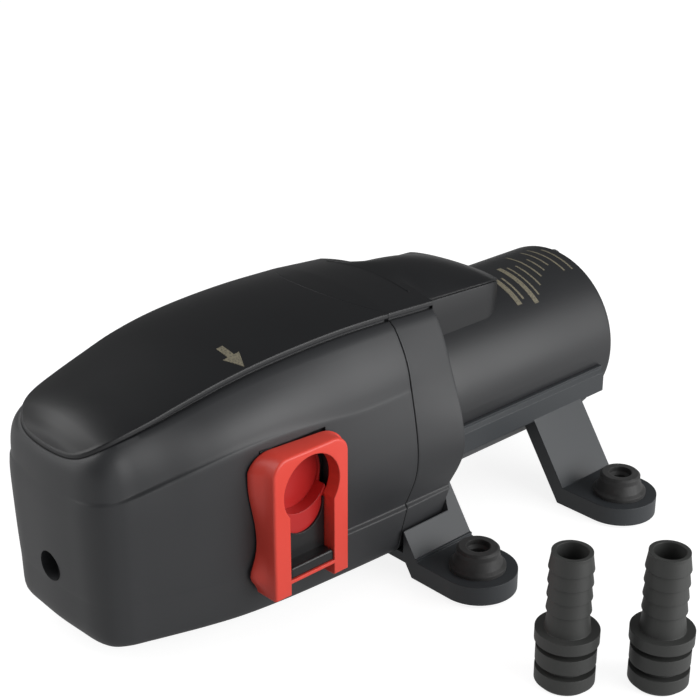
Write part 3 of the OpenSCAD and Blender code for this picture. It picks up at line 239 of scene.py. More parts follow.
@dataclass(frozen=True)
class WorkedMetal:
    """Bare metal with tool marks: fine rings or lines that stretch the highlights across them."""
    name: str
    colour: str
    stain: str
    roughness: float
    mark_mm: float = 0.25

    def build(self) -> bpy.types.Material:
        """Builds the node material."""
        g = NodeGraph.material(self.name)
        where = g.add("ShaderNodeTexCoord").outputs["Object"]
        stretched = g.add("ShaderNodeMapping", {}, {"Vector": where, "Scale": (1.0, 0.08, 1.0)})
        marks = g.noise(self.mark_mm, 2.0, stretched.outputs["Vector"])
        stains = g.noise(7.0, 4.0)
        return g.surface({
            "Base Color": g.blend(g.remap(stains, 0.0, 0.5), self.colour, self.stain),
            "Metallic": 1.0,
            "Roughness": g.remap(marks, self.roughness - 0.08, self.roughness + 0.08),
            "Normal": g.bump(marks, 0.003, g.soft_edges(0.2))})


@dataclass(frozen=True)
class PrintInk:
    """Pad-printed ink: matt, slightly broken where the grain of the plastic shows through."""
    name: str
    colour: str
    thin: str

    def build(self) -> bpy.types.Material:
        """Builds the node material."""
        g = NodeGraph.material(self.name)
        cover = g.noise(0.5, 4.0)
        return g.surface({
            "Base Color": g.blend(g.remap(cover, 0.0, 1.0, 0.45, 0.75), self.colour, self.thin),
            "Roughness": 0.6})


class Finish(Enum):
    """Every finish of the pump, each built once."""
    SHELL = MouldedPlastic("nylon_spark_eroded_black", "#2a2b2d", "#313234", 0.47)
    COVER = MouldedPlastic("nylon_polished_black", "#17181a", "#1d1e20", 0.42, edge_mm=0.5)
    BRACKET = MouldedPlastic("nylon_moulded_bracket", "#313437", "#383b3e", 0.46)
    FRAME = MouldedPlastic("acetal_black_guide", "#161617", "#1e1e1f", 0.34)
    CLIP = MouldedPlastic("acetal_red_clip", "#dc4437", "#e04c3f", 0.38, grain_depth_mm=0.002, edge_mm=0.6)
    PLUG = MouldedPlastic("acetal_red_plug", "#b0201f", "#ba2926", 0.38, grain_depth_mm=0.002)
    TAIL = MouldedPlastic("nylon_glass_filled_grey", "#343534", "#3d3e3c", 0.55, 0.25, 0.006)
    MOULDING = MouldedPlastic("nylon_glass_filled_drive", "#4c4f52", "#585b5e", 0.48)
    SWITCH = MouldedPlastic("polyester_switch_case", "#84888c", "#8e9296", 0.45)
    ACETAL = MouldedPlastic("acetal_natural", "#e2decf", "#ebe8dc", 0.35)
    BOARD = MouldedPlastic("phenolic_brush_board", "#6f4326", "#7f5030", 0.6)
    RUBBER = Rubber("rubber_moulded_grommet", "#1e1e1e", "#303030")
    VALVE_RUBBER = Rubber("rubber_valve_black", "#131313", "#1d1d1d", 0.6)
    MOTOR = PaintedSteel("enamel_black_motor_can", "#232426", "#2a2b2d", 0.44)
    ZINC = WorkedMetal("steel_zinc_plated", "#c2c4c6", "#a9abad", 0.32)
    BEARING = WorkedMetal("steel_ground_bearing", "#c9cbce", "#b4b6b9", 0.2)
    LAMINATION = WorkedMetal("steel_stamped_laminations", "#6a6d71", "#505357", 0.42)
    CASTING = WorkedMetal("aluminium_die_cast", "#9da0a3", "#8a8d90", 0.5, 0.8)
    FERRITE = WorkedMetal("ferrite_sintered_magnet", "#2f2f31", "#3a3a3c", 0.6, 1.2)
    CARBON = WorkedMetal("carbon_pressed_brush", "#2c2c2d", "#38383a", 0.55)
    SPRING = WorkedMetal("steel_drawn_spring", "#a6a9ad", "#8f9296", 0.3)
    COPPER = WorkedMetal("copper_turned_commutator", "#b8703c", "#8f4f28", 0.3)
    BRASS = WorkedMetal("brass_turned_screw", "#c79d50", "#a8803c", 0.28)
    PRINT = PrintInk("ink_pad_printed_grey", "#77715f", "#3f3d39")

    def material(self) -> bpy.types.Material:
        """Returns this finish's material, made on first use."""
        return bpy.data.materials.get(self.value.name) or self.value.build()


# CAD nodes that keep their own mesh: the finish of each, and the width of its bevel in millimetres
CARRIED: dict[Finish, tuple[tuple[str, ...], float]] = {
    Finish.BRACKET: (("front_bracket", "motor_cradle"), 0.6),
    Finish.MOTOR: (("motor_can",), 0.0),
    Finish.FRAME: (("outlet_port_frame", "inlet_port_frame"), 0.5),
    Finish.RUBBER: (("grommet_front_left", "grommet_front_right", "grommet_rear_left",
                     "grommet_rear_right", "lead_gland"), 0.3),
    Finish.VALVE_RUBBER: (("outlet_plug_seals", "inlet_plug_seals", "diaphragm", "inlet_valves",
                           "outlet_valve"), 0.0),
    Finish.PLUG: (("outlet_plug", "inlet_plug"), 0.0),
    Finish.TAIL: (("hose_tail_a", "hose_tail_b"), 0.25),
    Finish.MOULDING: (("drive_housing", "valve_plate", "valve_head", "wobble_plate", "pistons"), 0.3),
    Finish.ZINC: (("base_screws", "motor_bolts", "housing_bolts", "eccentric"), 0.2),
    Finish.BEARING: (("front_bearing", "rear_bearing", "wobble_bearing", "shaft"), 0.2),
    Finish.LAMINATION: (("armature",), 0.0),
    Finish.CASTING: (("motor_end_plate",), 0.3),
    Finish.FERRITE: (("magnets",), 0.0),
    Finish.CARBON: (("brushes",), 0.0),
    Finish.SPRING: (("brush_springs", "switch_spring"), 0.0),
    Finish.COPPER: (("commutator",), 0.0),
    Finish.BOARD: (("brush_plate",), 0.0),
    Finish.SWITCH: (("switch_body",), 0.4),
    Finish.ACETAL: (("switch_plunger",), 0.0),
    Finish.BRASS: (("adjust_screw",), 0.0),
}


# ---- mesh helpers
class Piece:
    """A mesh under construction, in millimetres."""

    def __init__(self, name: str) -> None:
        self.name = name
        self.points: list[Point] = []
        self.faces: list[tuple[int, ...]] = []

    def grid(self, rows: Sequence[Sequence[Point]], close: bool = False) -> "Piece":
        """Adds a strip of quads between rows of points; close joins each row's ends."""
        start, width = len(self.points), len(rows[0])
        for row in rows:
            self.points.extend(row)
        for i in range(len(rows) - 1):
            for j in range(width if close else width - 1):
                a, b = start + i * width + j, start + i * width + (j + 1) % width
                self.faces.append((a, b, b + width, a + width))
        return self

    def box(self, low: Point, high: Point) -> "Piece":
        """Adds a box between two corners."""
        rings = [[(x, low[1], low[2]), (x, high[1], low[2]), (x, high[1], high[2]), (x, low[1], high[2])]
                 for x in (low[0], high[0])]
        return self.grid(rings, close=True).fan(rings[0]).fan(rings[1])

    def fan(self, ring: Sequence[Point]) -> "Piece":
        """Adds one flat face round a ring of points."""
        start = len(self.points)
        self.points.extend(ring)
        self.faces.append(tuple(range(start, start + len(ring))))
        return self

    def make(self, finish: Finish, slot: str, nodes: Sequence[str] = (), body: str = "pump",
             smooth_deg: float = 32.0, mirror_x: bool = False) -> Object:
        """Turns the piece into an object that rides on a body.

        Args:
            finish: Its finish.
            slot: The record's material slot; not used.
            nodes: The CAD nodes that it stands for.
            body: The CAD body that carries it.
            smooth_deg: Edges sharper than this stay sharp.
            mirror_x: Builds it on the -X side of the pump.

        Returns:
            The new object.
        """
        sign = -1 if mirror_x else 1
        mesh = bpy.data.meshes.new(self.name)
        mesh.from_pydata([(x * MM * sign, y * MM, z * MM) for x, y, z in self.points], [], self.faces)
        shape = bmesh.new()
        shape.from_mesh(mesh)
        bmesh.ops.remove_doubles(shape, verts=shape.verts, dist=1e-6)
        bmesh.ops.dissolve_degenerate(shape, edges=shape.edges, dist=1e-7)
        bmesh.ops.recalc_face_normals(shape, faces=shape.faces)
        shape.to_mesh(mesh)
        shape.free()
        mesh.materials.append(finish.material())
        obj = place(self.name, mesh)
        shade(obj, smooth_deg)
        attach(obj, body)
        if nodes:
            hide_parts(*nodes)
        return obj


def fillet(points: Sequence[Point], cuts: Sequence[float], steps: int = 5) -> list[Point]:
    """Rounds the corners of a polyline.

    Args:
        points: The polyline.
        cuts: How far from each corner its rounding starts; 0 keeps it sharp.
        steps: Segments of each rounding.

    Returns:
        The rounded polyline. Every corner gives steps + 1 points, so rows keep the same length.
    """
    made: list[Point] = [points[0]]
    for i in range(1, len(points) - 1):
        before, corner, after = Vector(points[i - 1]), Vector(points[i]), Vector(points[i + 1])
        reach_in = min(cuts[i], 0.49 * (corner - before).length)
        reach_out = min(cuts[i], 0.49 * (after - corner).length)
        a = corner + (before - corner).normalized() * reach_in
        b = corner + (after - corner).normalized() * reach_out
        for k in range(steps + 1):
            t = k / steps
            made.append(tuple(a * (1 - t) ** 2 + corner * 2 * t * (1 - t) + b * t * t))
    made.append(points[-1])
    return made


def place(name: str, data: bpy.types.ID) -> Object:
    """Puts new data in the scene as an object."""
    obj = bpy.data.objects.new(name, data)
    bpy.context.scene.collection.objects.link(obj)
    return obj


def circle(x: float, y: float, z: float, radius: float, count: int) -> list[Point]:
    """Returns a circle of points round an axis along X."""
    turns = [2 * math.pi * k / count for k in range(count)]
    return [(x, y + radius * math.cos(a), z + radius * math.sin(a)) for a in turns]


def shade(obj: Object, sharp_deg: float) -> None:
    """Shades an object smooth, but for edges sharper than sharp_deg."""
    obj.data.shade_smooth()
    obj.data.set_sharp_from_angle(angle=math.radians(sharp_deg))


def bevel_edges(obj: Object, width_mm: float, segments: int, angle_deg: float) -> None:
    """Bevels every edge sharper than angle_deg with a modifier."""
    bevel = obj.modifiers.new("moulded_edges", "BEVEL")
    bevel.width, bevel.segments = width_mm * MM, segments
    bevel.limit_method, bevel.angle_limit = "ANGLE", math.radians(angle_deg)
    bevel.harden_normals = True


def cut_away(obj: Object, cutters: Sequence[Object]) -> None:
    """Cuts shapes out of a piece, applies the cuts and removes the cutters."""
    for cutter in cutters:
        modifier = obj.modifiers.new("cut", "BOOLEAN")
        modifier.operation = "DIFFERENCE"
        modifier.solver = "EXACT"
        modifier.object = cutter
        with bpy.context.temp_override(object=obj, active_object=obj):
            bpy.ops.object.modifier_apply(modifier=modifier.name)
        bpy.data.objects.remove(cutter)


def round_cutter(centre: Point, axis: str, radius: float, depth: float) -> Object:
    """Makes a cylinder of that radius along X or Y, centred on a point, to cut with."""
    shape = bmesh.new()
    bmesh.ops.create_cone(shape, cap_ends=True, segments=96, radius1=radius * MM, radius2=radius * MM,
                          depth=depth * MM)
    turn = Matrix.Rotation(math.pi / 2, 3, "X" if axis == "Y" else "Y")
    bmesh.ops.rotate(shape, verts=shape.verts, matrix=turn, cent=(0, 0, 0))
    bmesh.ops.translate(shape, verts=shape.verts, vec=Vector(centre) * MM)
    return _cutter(shape)


def box_cutter(low: Point, high: Point) -> Object:
    """Makes a box between two corners, to cut with."""
    shape = bmesh.new()
    bmesh.ops.create_cube(shape, size=1.0)
    for vertex in shape.verts:
        vertex.co = Vector([(low[i] if vertex.co[i] < 0 else high[i]) * MM for i in range(3)])
    return _cutter(shape)


def _cutter(shape: bmesh.types.BMesh) -> Object:
    mesh = bpy.data.meshes.new("cutter")
    shape.to_mesh(mesh)
    shape.free()
    return place("cutter", mesh)


# ---- the head's lines
@dataclass(frozen=True)
class HeadLines:
    """The moulding lines of the pump head, the same as the CAD's.

    Each rib, from the middle of the nose back to the collar joint, is: wall x, y, crease x, y, z, cover
    seam x, y, z. y is from the nose and z from the underside of the body.
    """
    nose_y: float = -170.0
    floor_z: float = 10.0
    shaft_z: float = 46.5
    joint_y: float = -47.0
    collar_end_y: float = -25.0
    seam_gap: float = 0.3
    cover_edge: float = 1.2
    cover_crown: float = 4.0
    cover_arc: float = 12.3
    plinth_h: float = 15.8
    tuck_h: float = 16.8
    undercut_h: float = 26.0
    full_h: float = 36.5
    upper_h: float = 48.0
    lean: float = 8.5
    lean_top: float = 31.0
    ribs: tuple[tuple[float, ...], ...] = (
        (0, 0, 0, 0.3, 52, 0, 2.5, 64),
        (12, 0.5, 11.9, 0.8, 52.2, 8.8, 2.8, 64.4),
        (20.4, 1.5, 20.3, 1.7, 52.6, 14.5, 3.7, 65.4),
        (26.2, 4.5, 26, 4.6, 53, 18.6, 5.6, 67),
        (29.9, 9.9, 29.5, 9.8, 53.4, 22, 9, 69.2),
        (32.2, 16.4, 31.8, 16, 54.8, 24.2, 14.5, 71.2),
        (35, 25, 34.6, 24.8, 57.2, 26, 24, 73.6),
        (38.2, 35.5, 38, 35.4, 60, 27.3, 35.5, 76.6),
        (41.2, 48, 41, 48, 62.6, 28.6, 48, 79.6),
        (43.2, 63, 42.7, 63, 63.6, 29.5, 63, 82),
        (44.4, 80, 43.1, 80, 62.4, 30, 80, 83.4),
        (45.2, 100, 42.5, 100, 59.8, 30.2, 100, 84),
        (45.9, 123, 41.9, 123, 59.5, 30.4, 123, 83.5))
    # the collar's rear edge: half width and height above the underside, at the same corners as a rib
    rear: tuple[tuple[float, float], ...] = (
        (38, 0), (43, 0), (44.6, 15.8), (43.6, 16.8), (46.6, 26), (48, 33), (46.2, 44), (42.6, 54),
        (41.6, 56.5), (39.4, 62.5), (37, 69), (33.9, 75.6), (29.8, 82))

    @property
    def last(self) -> int:
        """Number of the rib at the collar joint."""
        return len(self.ribs) - 1

    def _row(self, i: int) -> tuple[float, ...]:
        if i < 0:
            r = self._row(-i)
            return (-r[0], r[1], -r[2], r[3], r[4], -r[5], r[6], r[7])
        if i > self.last:
            return tuple(2 * a - b for a, b in zip(self.ribs[self.last], self.ribs[self.last - 1]))
        return self.ribs[i]

    def rib(self, u: float) -> tuple[float, ...]:
        """Returns the smooth rib at u, in the model's frame."""
        i = min(math.floor(u), self.last - 1)
        t = u - i
        rows = [self._row(i + k) for k in (-1, 0, 1, 2)]
        r = [(2 * b + (c - a) * t + (2 * a - 5 * b + 4 * c - d) * t * t + (3 * b - a - 3 * c + d) * t ** 3) / 2
             for a, b, c, d in zip(*rows)]
        return (r[0], self.nose_y + r[1], r[2], self.nose_y + r[3], self.floor_z + r[4],
                r[5], self.nose_y + r[6], self.floor_z + r[7])

    def inward(self, u: float) -> tuple[float, float]:
        """Returns the direction into the body at u, in plan."""
        a, b = self.rib(max(u - 0.1, -self.last)), self.rib(min(u + 0.1, self.last))
        x, y = b[0] - a[0], b[1] - a[1]
        size = math.hypot(x, y)
        return (-y / size, x / size)

    def leaned(self, p: Point, share: float) -> Point:
        """Moves a point forward where the collar joints lean, by share of the full lean."""
        drop = ramp(self.floor_z + self.lean_top - p[2], 0, self.lean_top)
        return (p[0], p[1] - self.lean * share * drop, p[2])

    def corners(self, u: float) -> tuple[list[Point], list[float]]:
        """Returns the corners of one rib of the outer surface, and how far each is rounded."""
        w, n = self.rib(u), self.inward(u)
        size = abs(u)
        radius = mix(9.5, 4.5, ramp(size, 0.5, 3.8))
        q = ramp(size, 9.3, 10.2)
        lip = sum(step * ramp(size, low, high)
                  for step, low, high in ((0.5, 0.6, 2.6), (0.8, 3.2, 5), (-0.5, 5, 8), (-0.5, 8, 11)))
        nose = 1 - ramp(size, 5, 9)

        def wall(inset: float, z: float) -> Point:
            return (w[0] + n[0] * inset, w[1] + n[1] * inset, z)

        crease = (w[2], w[3], w[4])
        full = wall(0, self.floor_z + self.full_h)
        above = mix_points(full, crease, (self.upper_h - self.full_h) / (w[4] - self.floor_z - self.full_h))
        up = (crease[0] + n[0] * lip, crease[1] + n[1] * lip, crease[2] + 0.5)
        seam = (w[5], w[6], w[7])
        bow, rise = mix(-0.03, 0.11, ramp(size, 3.2, 7)), mix(0.95, 0.53, ramp(size, 3.2, 6.2))
        mid = (mix(up[0], seam[0], bow), mix(up[1], seam[1], bow), mix(up[2], seam[2], rise))
        curve = [tuple(up[k] * (1 - t) ** 2 + mid[k] * 2 * t * (1 - t) + seam[k] * t * t for k in range(3))
                 for t in (0.25, 0.5, 0.75, 1.0)]
        points = [
            wall(1 + radius, self.floor_z), wall(1, self.floor_z),
            wall(mix(0.8, 1.2, q), self.floor_z + self.plinth_h),
            wall(mix(0.7, 2.6, q), self.floor_z + self.tuck_h),
            wall(mix(0.3, 0.9, q), self.floor_z + self.undercut_h), full,
            (above[0] - n[0] * 0.4, above[1] - n[1] * 0.4, above[2]),
            (crease[0], crease[1], crease[2] - 0.3), up, *curve]
        soft = mix(mix(3.4, 1.2, q), 0.5, nose)
        cuts = [0, radius, mix(3, 0.35, q), mix(3, 0.5, q), 4, 5, 5, soft, soft * 0.8, 3, 3, 3, 0.5]
        return points, cuts

    def rear_corners(self) -> list[Point]:
        """Returns the corners of the collar's rear edge on the right-hand side."""
        return [(x, self.collar_end_y, self.floor_z + z) for x, z in self.rear]


@dataclass(frozen=True)
class ShellRim:
    """How a shell's upper edge is finished under the covers: a rebate that reads as a dark line."""
    height: float = 1.5
    depth: float = 1.3
    wall: float = 2.4

    def add_to(self, row: list[Point], n: tuple[float, float], room: float) -> list[Point]:
        """Ends a rib in the rebate and the hidden inside of the wall.

        Args:
            row: The rib's points, with the seam last.
            n: The direction into the body, in plan.
            room: Share of the full rebate height here.
        """
        x, y, z = row[-1]
        low = z - self.height * room
        row[-1] = (x - n[0] * 0.3, y - n[1] * 0.3, low)

        def inside(depth: float, height: float) -> Point:
            return (x + n[0] * depth, y + n[1] * depth, height)

        return row + [inside(0.1, low + 0.05), inside(self.depth, low - 0.1), inside(self.depth, z),
                      inside(self.wall, z), inside(self.wall, z - 8)]


class HeadShell:
    """The pump head's tub: one moulding round the nose, open at the top and at the collar joint."""
    ROWS = 240
    BACK_IN = 2.6

    def __init__(self, lines: HeadLines, rim: ShellRim, ports: "PortPlan") -> None:
        self.lines, self.rim, self.ports = lines, rim, ports

    def row(self, u: float) -> list[Point]:
        """Returns one dense rib, from the underside over the rebate."""
        points, cuts = self.lines.corners(u)
        dense = fillet(points, cuts)
        share = ramp(abs(u), 10, self.lines.last)
        dense = self.rim.add_to(dense, self.lines.inward(u), mix(0.25, 1.0, ramp(abs(u), 4, 8)))
        return [self.lines.leaned(p, share) for p in dense]

    def end_rows(self, u: float) -> list[list[Point]]:
        """Returns the rounded end at the collar joint, which turns into the body."""
        n, base = self.lines.inward(u), self.row(u)
        return [[(x + n[0] * a, y - back, z + (a if z < self.lines.floor_z + 1 else 0)) for x, y, z in base]
                for a, back in ((0.0, 0.35), (0.1, 0.1), (0.35, 0.0), (self.BACK_IN, 0.0), (self.BACK_IN, 6.0))]

    def build(self) -> None:
        """Builds the shell with its access hole and its two port windows."""
        last = self.lines.last
        us = span(-last + 0.02, last - 0.02, self.ROWS)
        rows = [*reversed(self.end_rows(-last)), *[self.row(u) for u in us], *self.end_rows(last)]
        piece = Piece("head_shell_skin").grid(rows).fan([r[0] for r in rows[4:-4]])
        shell = piece.make(Finish.SHELL, "shell_black", ["head_shell"], smooth_deg=40)
        p = self.ports
        cutters = [round_cutter((0, self.lines.nose_y, p.access_z), "Y", p.access_d / 2, 20)]
        for side in (-1, 1):
            low, high = sorted((side * 30.0, side * 60.0))
            cutters.append(box_cutter((low, p.port_y - p.window_half, p.window_z[0]),
                                      (high, p.port_y + p.window_half, p.window_z[1])))
        cut_away(shell, cutters)
        shell.data.set_sharp_from_angle(angle=math.radians(40))
        self._hole_wall()

    def _hole_wall(self) -> None:
        """Adds the turned-in wall of the nose's access hole."""
        radius, y0 = self.ports.access_d / 2, self.lines.nose_y
        rings = [[(x, y0 + depth, z) for _y, x, z in circle(0, 0, self.ports.access_z, radius + out, 64)]
                 for out, depth in ((0.02, 0.35), (-0.05, 0.9), (-0.05, 3.0))]
        Piece("access_hole_wall").grid(rings, close=True).make(Finish.SHELL, "shell_black")


class Collar:
    """The band between the pump head and the motor."""
    COLUMNS = 24

    def __init__(self, lines: HeadLines, rim: ShellRim) -> None:
        self.lines, self.rim = lines, rim

    def row(self, v: float, inset: float, shift: float) -> list[Point]:
        """Returns one dense rib of the right-hand side at share v of the collar's length."""
        points, cuts = self.lines.corners(self.lines.last)
        points[8] = mix_points(points[7], points[9], 0.2)
        cuts[7:9] = [3.4, 2.7]
        keys = [mix_points(a, b, v) for a, b in zip(points, self.lines.rear_corners())]
        dense = self.rim.add_to(fillet(keys, cuts), (-1.0, 0.0), 1.0)
        dense = [self.lines.leaned(p, 1.0) for p in dense]
        return [(x - inset, y + shift, max(z, self.lines.floor_z + inset)) for x, y, z in dense]

    def build(self) -> None:
        """Builds both sides, the floor and the turned-in ends, with the closing wall behind."""
        g = self.lines.seam_gap
        stations = [(0.0, 2.6, g + 6), (0.0, 2.6, g), (0.0, 0.35, g), (0.0, 0.1, g + 0.1), (0.0, 0.0, g + 0.35)]
        stations += [(v, 0.0, g * (1 - v)) for v in span(0.03, 0.97, self.COLUMNS)]
        stations += [(1.0, 0.0, -0.35), (1.0, 0.1, -0.1), (1.0, 0.35, 0.0), (1.0, 1.6, 0.0), (1.0, 1.6, -2.0)]
        right = [self.row(*s) for s in stations]
        whole = [[*reversed([(-x, y, z) for x, y, z in r]), *r] for r in right]
        Piece("collar_skin").grid(whole).make(Finish.SHELL, "shell_black", ["collar"], smooth_deg=40)
        self._back_wall()

    def _back_wall(self) -> None:
        """Closes the collar round the motor, a little inside its rear edge."""
        opening, z0 = CAN_R + 0.35, self.lines.shaft_z
        edge = self.row(1.0, 1.6, -1.2)
        ring_out = [*edge, *[(-x, y, z) for x, y, z in reversed(edge)]]
        ring_in = []
        for x, y, z in ring_out:
            a = math.atan2(z - z0, x)
            ring_in.append((opening * math.cos(a), y, z0 + opening * math.sin(a)))
        Piece("collar_back_wall").grid([ring_out, ring_in], close=True).make(Finish.SHELL, "shell_black")


class Covers:
    """The front cover, and the rear cover with its hood over the motor. They meet on an arc in plan."""
    ACROSS = 36
    ALONG = 90
    UNDER = 13.6
    # Rows of the hood: distance behind the collar joint, and share of the half width
    HOOD = (*((d, 1.0) for d in range(18, 61, 3)), (62, 0.99), (64, 0.965), (66, 0.93), (68, 0.88), (70, 0.82),
            (71.6, 0.75), (73, 0.66), (74.2, 0.55), (75.2, 0.42), (75.7, 0.3), (76, 0.2))
    HOOD_HALF = 21.5
    HOOD_EDGE_Z = 90.1

    def __init__(self, lines: HeadLines) -> None:
        self.lines = lines
        half = lines.ribs[lines.last][5]
        self.arc_r = (half ** 2 + lines.cover_arc ** 2) / (2 * lines.cover_arc)
        self.arc_y = lines.joint_y - lines.cover_arc + self.arc_r

    def crown(self, u: float) -> float:
        """Returns the cover's rise over its edges at rib u."""
        share = abs(self.lines.rib(u)[5]) / 30
        return self.lines.cover_crown * (1 - max(0.0, 1 - share) ** 2)

    def outward(self, u: float) -> tuple[float, float]:
        """Returns the direction out of the right-hand cover seam at u, in plan."""
        if u >= self.lines.last:
            return (1.0, 0.0)
        a, b = self.lines.rib(u - 0.05), self.lines.rib(u + 0.05)
        size = math.hypot(b[5] - a[5], b[6] - a[6])
        return ((b[6] - a[6]) / size, (a[5] - b[5]) / size)

    def top_point(self, u: float, s: float) -> Point:
        """Returns the cover's surface at rib u (past the last rib: along the collar) and share s across."""
        line = self.lines
        if u <= line.last:
            w, (ox, oy) = line.rib(u), self.outward(u)
            half, y, z, rise = w[5] - 0.4 * ox, w[6] - 0.4 * oy, w[7], self.crown(u)
        else:
            v = u - line.last
            end = line.rib(line.last)
            half = mix(end[5], line.rear[-1][0], v) - 0.4
            y = mix(line.joint_y, line.collar_end_y, v)
            z, rise = mix(end[7], line.floor_z + line.rear[-1][1], v), line.cover_crown
        return (half * s, y, z + line.seam_gap + line.cover_edge + rise * (1 - s * s))

    def arc_at(self, s: float, radius: float) -> float:
        """Returns the rib u at which the column s meets the joint's arc."""
        low, high = self.lines.last - 3.0, self.lines.last + 1.0
        for _ in range(30):
            u = (low + high) / 2
            x, y, _z = self.top_point(u, s)
            on_arc = self.arc_y - math.sqrt(max(0.0, radius ** 2 - x * x))
            low, high = (u, high) if y < on_arc else (low, u)
        return (low + high) / 2

    def skin(self, start: Callable[[float], float], stop: Callable[[float], float],
             along: int) -> list[list[Point]]:
        """Returns the rows of a cover's top with its rounded edges turned down all round.

        Args:
            start: The rib at which each share across begins.
            stop: The rib at which it ends.
            along: How many rows of faces lie between them.
        """
        shares = span(-1, 1, self.ACROSS)
        drop = self.lines.cover_edge + self.lines.seam_gap + 0.25

        def hem(row: list[Point], back: float, down: float) -> list[Point]:
            return [(x, y + back, z - down) for x, y, z in row]

        rounded = ((0.12, 0.05), (0.27, 0.25), (0.32, 0.6), (0.32, drop), (-2.0, drop))
        rows = []
        for t in span(0, 1, along):
            row = [self.top_point(mix(start(s), stop(s), t), s) for s in shares]
            ox, oy = self.outward(mix(start(1.0), stop(1.0), t))
            x, y, z = row[-1]
            right = [(x + ox * a, y + oy * a, z - d) for a, d in rounded]
            rows.append([*reversed([(-px, py, pz) for px, py, pz in right]), *row, *right])
        at_nose = start(0.0) == 0.0
        first = [] if at_nose else [hem(rows[0], -a, d) for a, d in reversed(rounded[:-1])]
        rear = [rows[-1][1], *rows[-1][1:-1], rows[-1][-2]]
        final = [hem(rear, a, d) for a, d in ((0.05, 0.06), (0.12, 0.3), (0.12, self.UNDER))]
        return first + rows + final

    def build(self) -> None:
        """Builds both covers and the hood."""
        inner, end = self.arc_r - self.lines.seam_gap, self.lines.last + 1.0
        front = self.skin(lambda s: 0.0, lambda s: self.arc_at(s, self.arc_r), self.ALONG)
        rear = self.skin(lambda s: self.arc_at(s, inner), lambda s: end, 40)
        for name, rows in (("front_cover", front), ("rear_cover", rear)):
            Piece(name + "_skin").grid(rows).make(Finish.COVER, "cover_black", [name], smooth_deg=40)
        self._hood()

    def _hood(self) -> None:
        """Builds the hood: a crowned lid with its side walls set in a little under the lid's edge."""
        line = self.lines
        start_z = self.top_point(line.last, 0)[2] - 0.5
        rows = []
        shares = span(-1, 1, 28)
        for d, width in self.HOOD:
            fall = 14.5 * ((d - 18) / 58) ** 2.2 + 0.7 * (1 - ramp(d, 18, 26))
            half, y, top = self.HOOD_HALF * width, line.joint_y + d, start_z - fall
            side = mix(2.0, max(2.0, top - self.HOOD_EDGE_Z + 0.045 * (d - 22)), ramp(d, 18, 29))
            lid = [(half * s, y, top - side * (half * s / self.HOOD_HALF) ** 2) for s in shares]
            edge = []
            for sign, p in ((-1, lid[0]), (1, lid[-1])):
                x, z = p[0], p[2]
                foot = line.shaft_z + math.sqrt(CAN_R ** 2 - x * x) + 0.1
                heights = (z - 0.1, z - 0.25, z - 0.3, z - 0.9, z - 1.0, z - 1.6, mix(z - 2.0, foot, 0.5), foot)
                edge.append([(x + sign * out, y, h)
                             for out, h in zip((0.1, 0.1, -0.7, -0.8, -0.15, 0.0, 0.0, 0.1), heights)])
            rows.append([*reversed(edge[0]), *lid, *edge[1]])
        Piece("hood_skin").grid(rows).fan(rows[-1]).make(Finish.COVER, "cover_black", smooth_deg=50)


# ---- ports
@dataclass(frozen=True)
class PortPlan:
    """Sizes of the quick-connect ports, the same as the CAD's."""
    port_y: float = -102.0
    port_z: float = 46.5
    travel: float = 9.5
    window_half: float = 13.6
    window_z: tuple[float, float] = (20.3, 70.3)
    access_z: float = 32.0
    access_d: float = 10.4
    face_x: float = 52.0
    plate_t: float = 5.4
    wall_x: float = 43.5
    wall_slope: float = 0.084
    gap: float = 0.3
    width: float = 32.0
    height: float = 50.7
    hole_d: float = 24.0
    slot_w: float = 19.0
    skirt_t: float = 2.4
    corner: float = 6.0
    flare: float = 2.8
    cross_bar: float = 1.2

    @property
    def keyhole_z(self) -> float:
        """Height of the keyhole's round part while the clip is locked."""
        return self.port_z + self.travel

    @property
    def z0(self) -> float:
        """Height of the clip's lower end."""
        return self.keyhole_z + self.hole_d / 2 + 2.2 - self.height

    @property
    def bar_z0(self) -> float:
        """Height of the underside of the thumb bar."""
        return self.z0 + 6


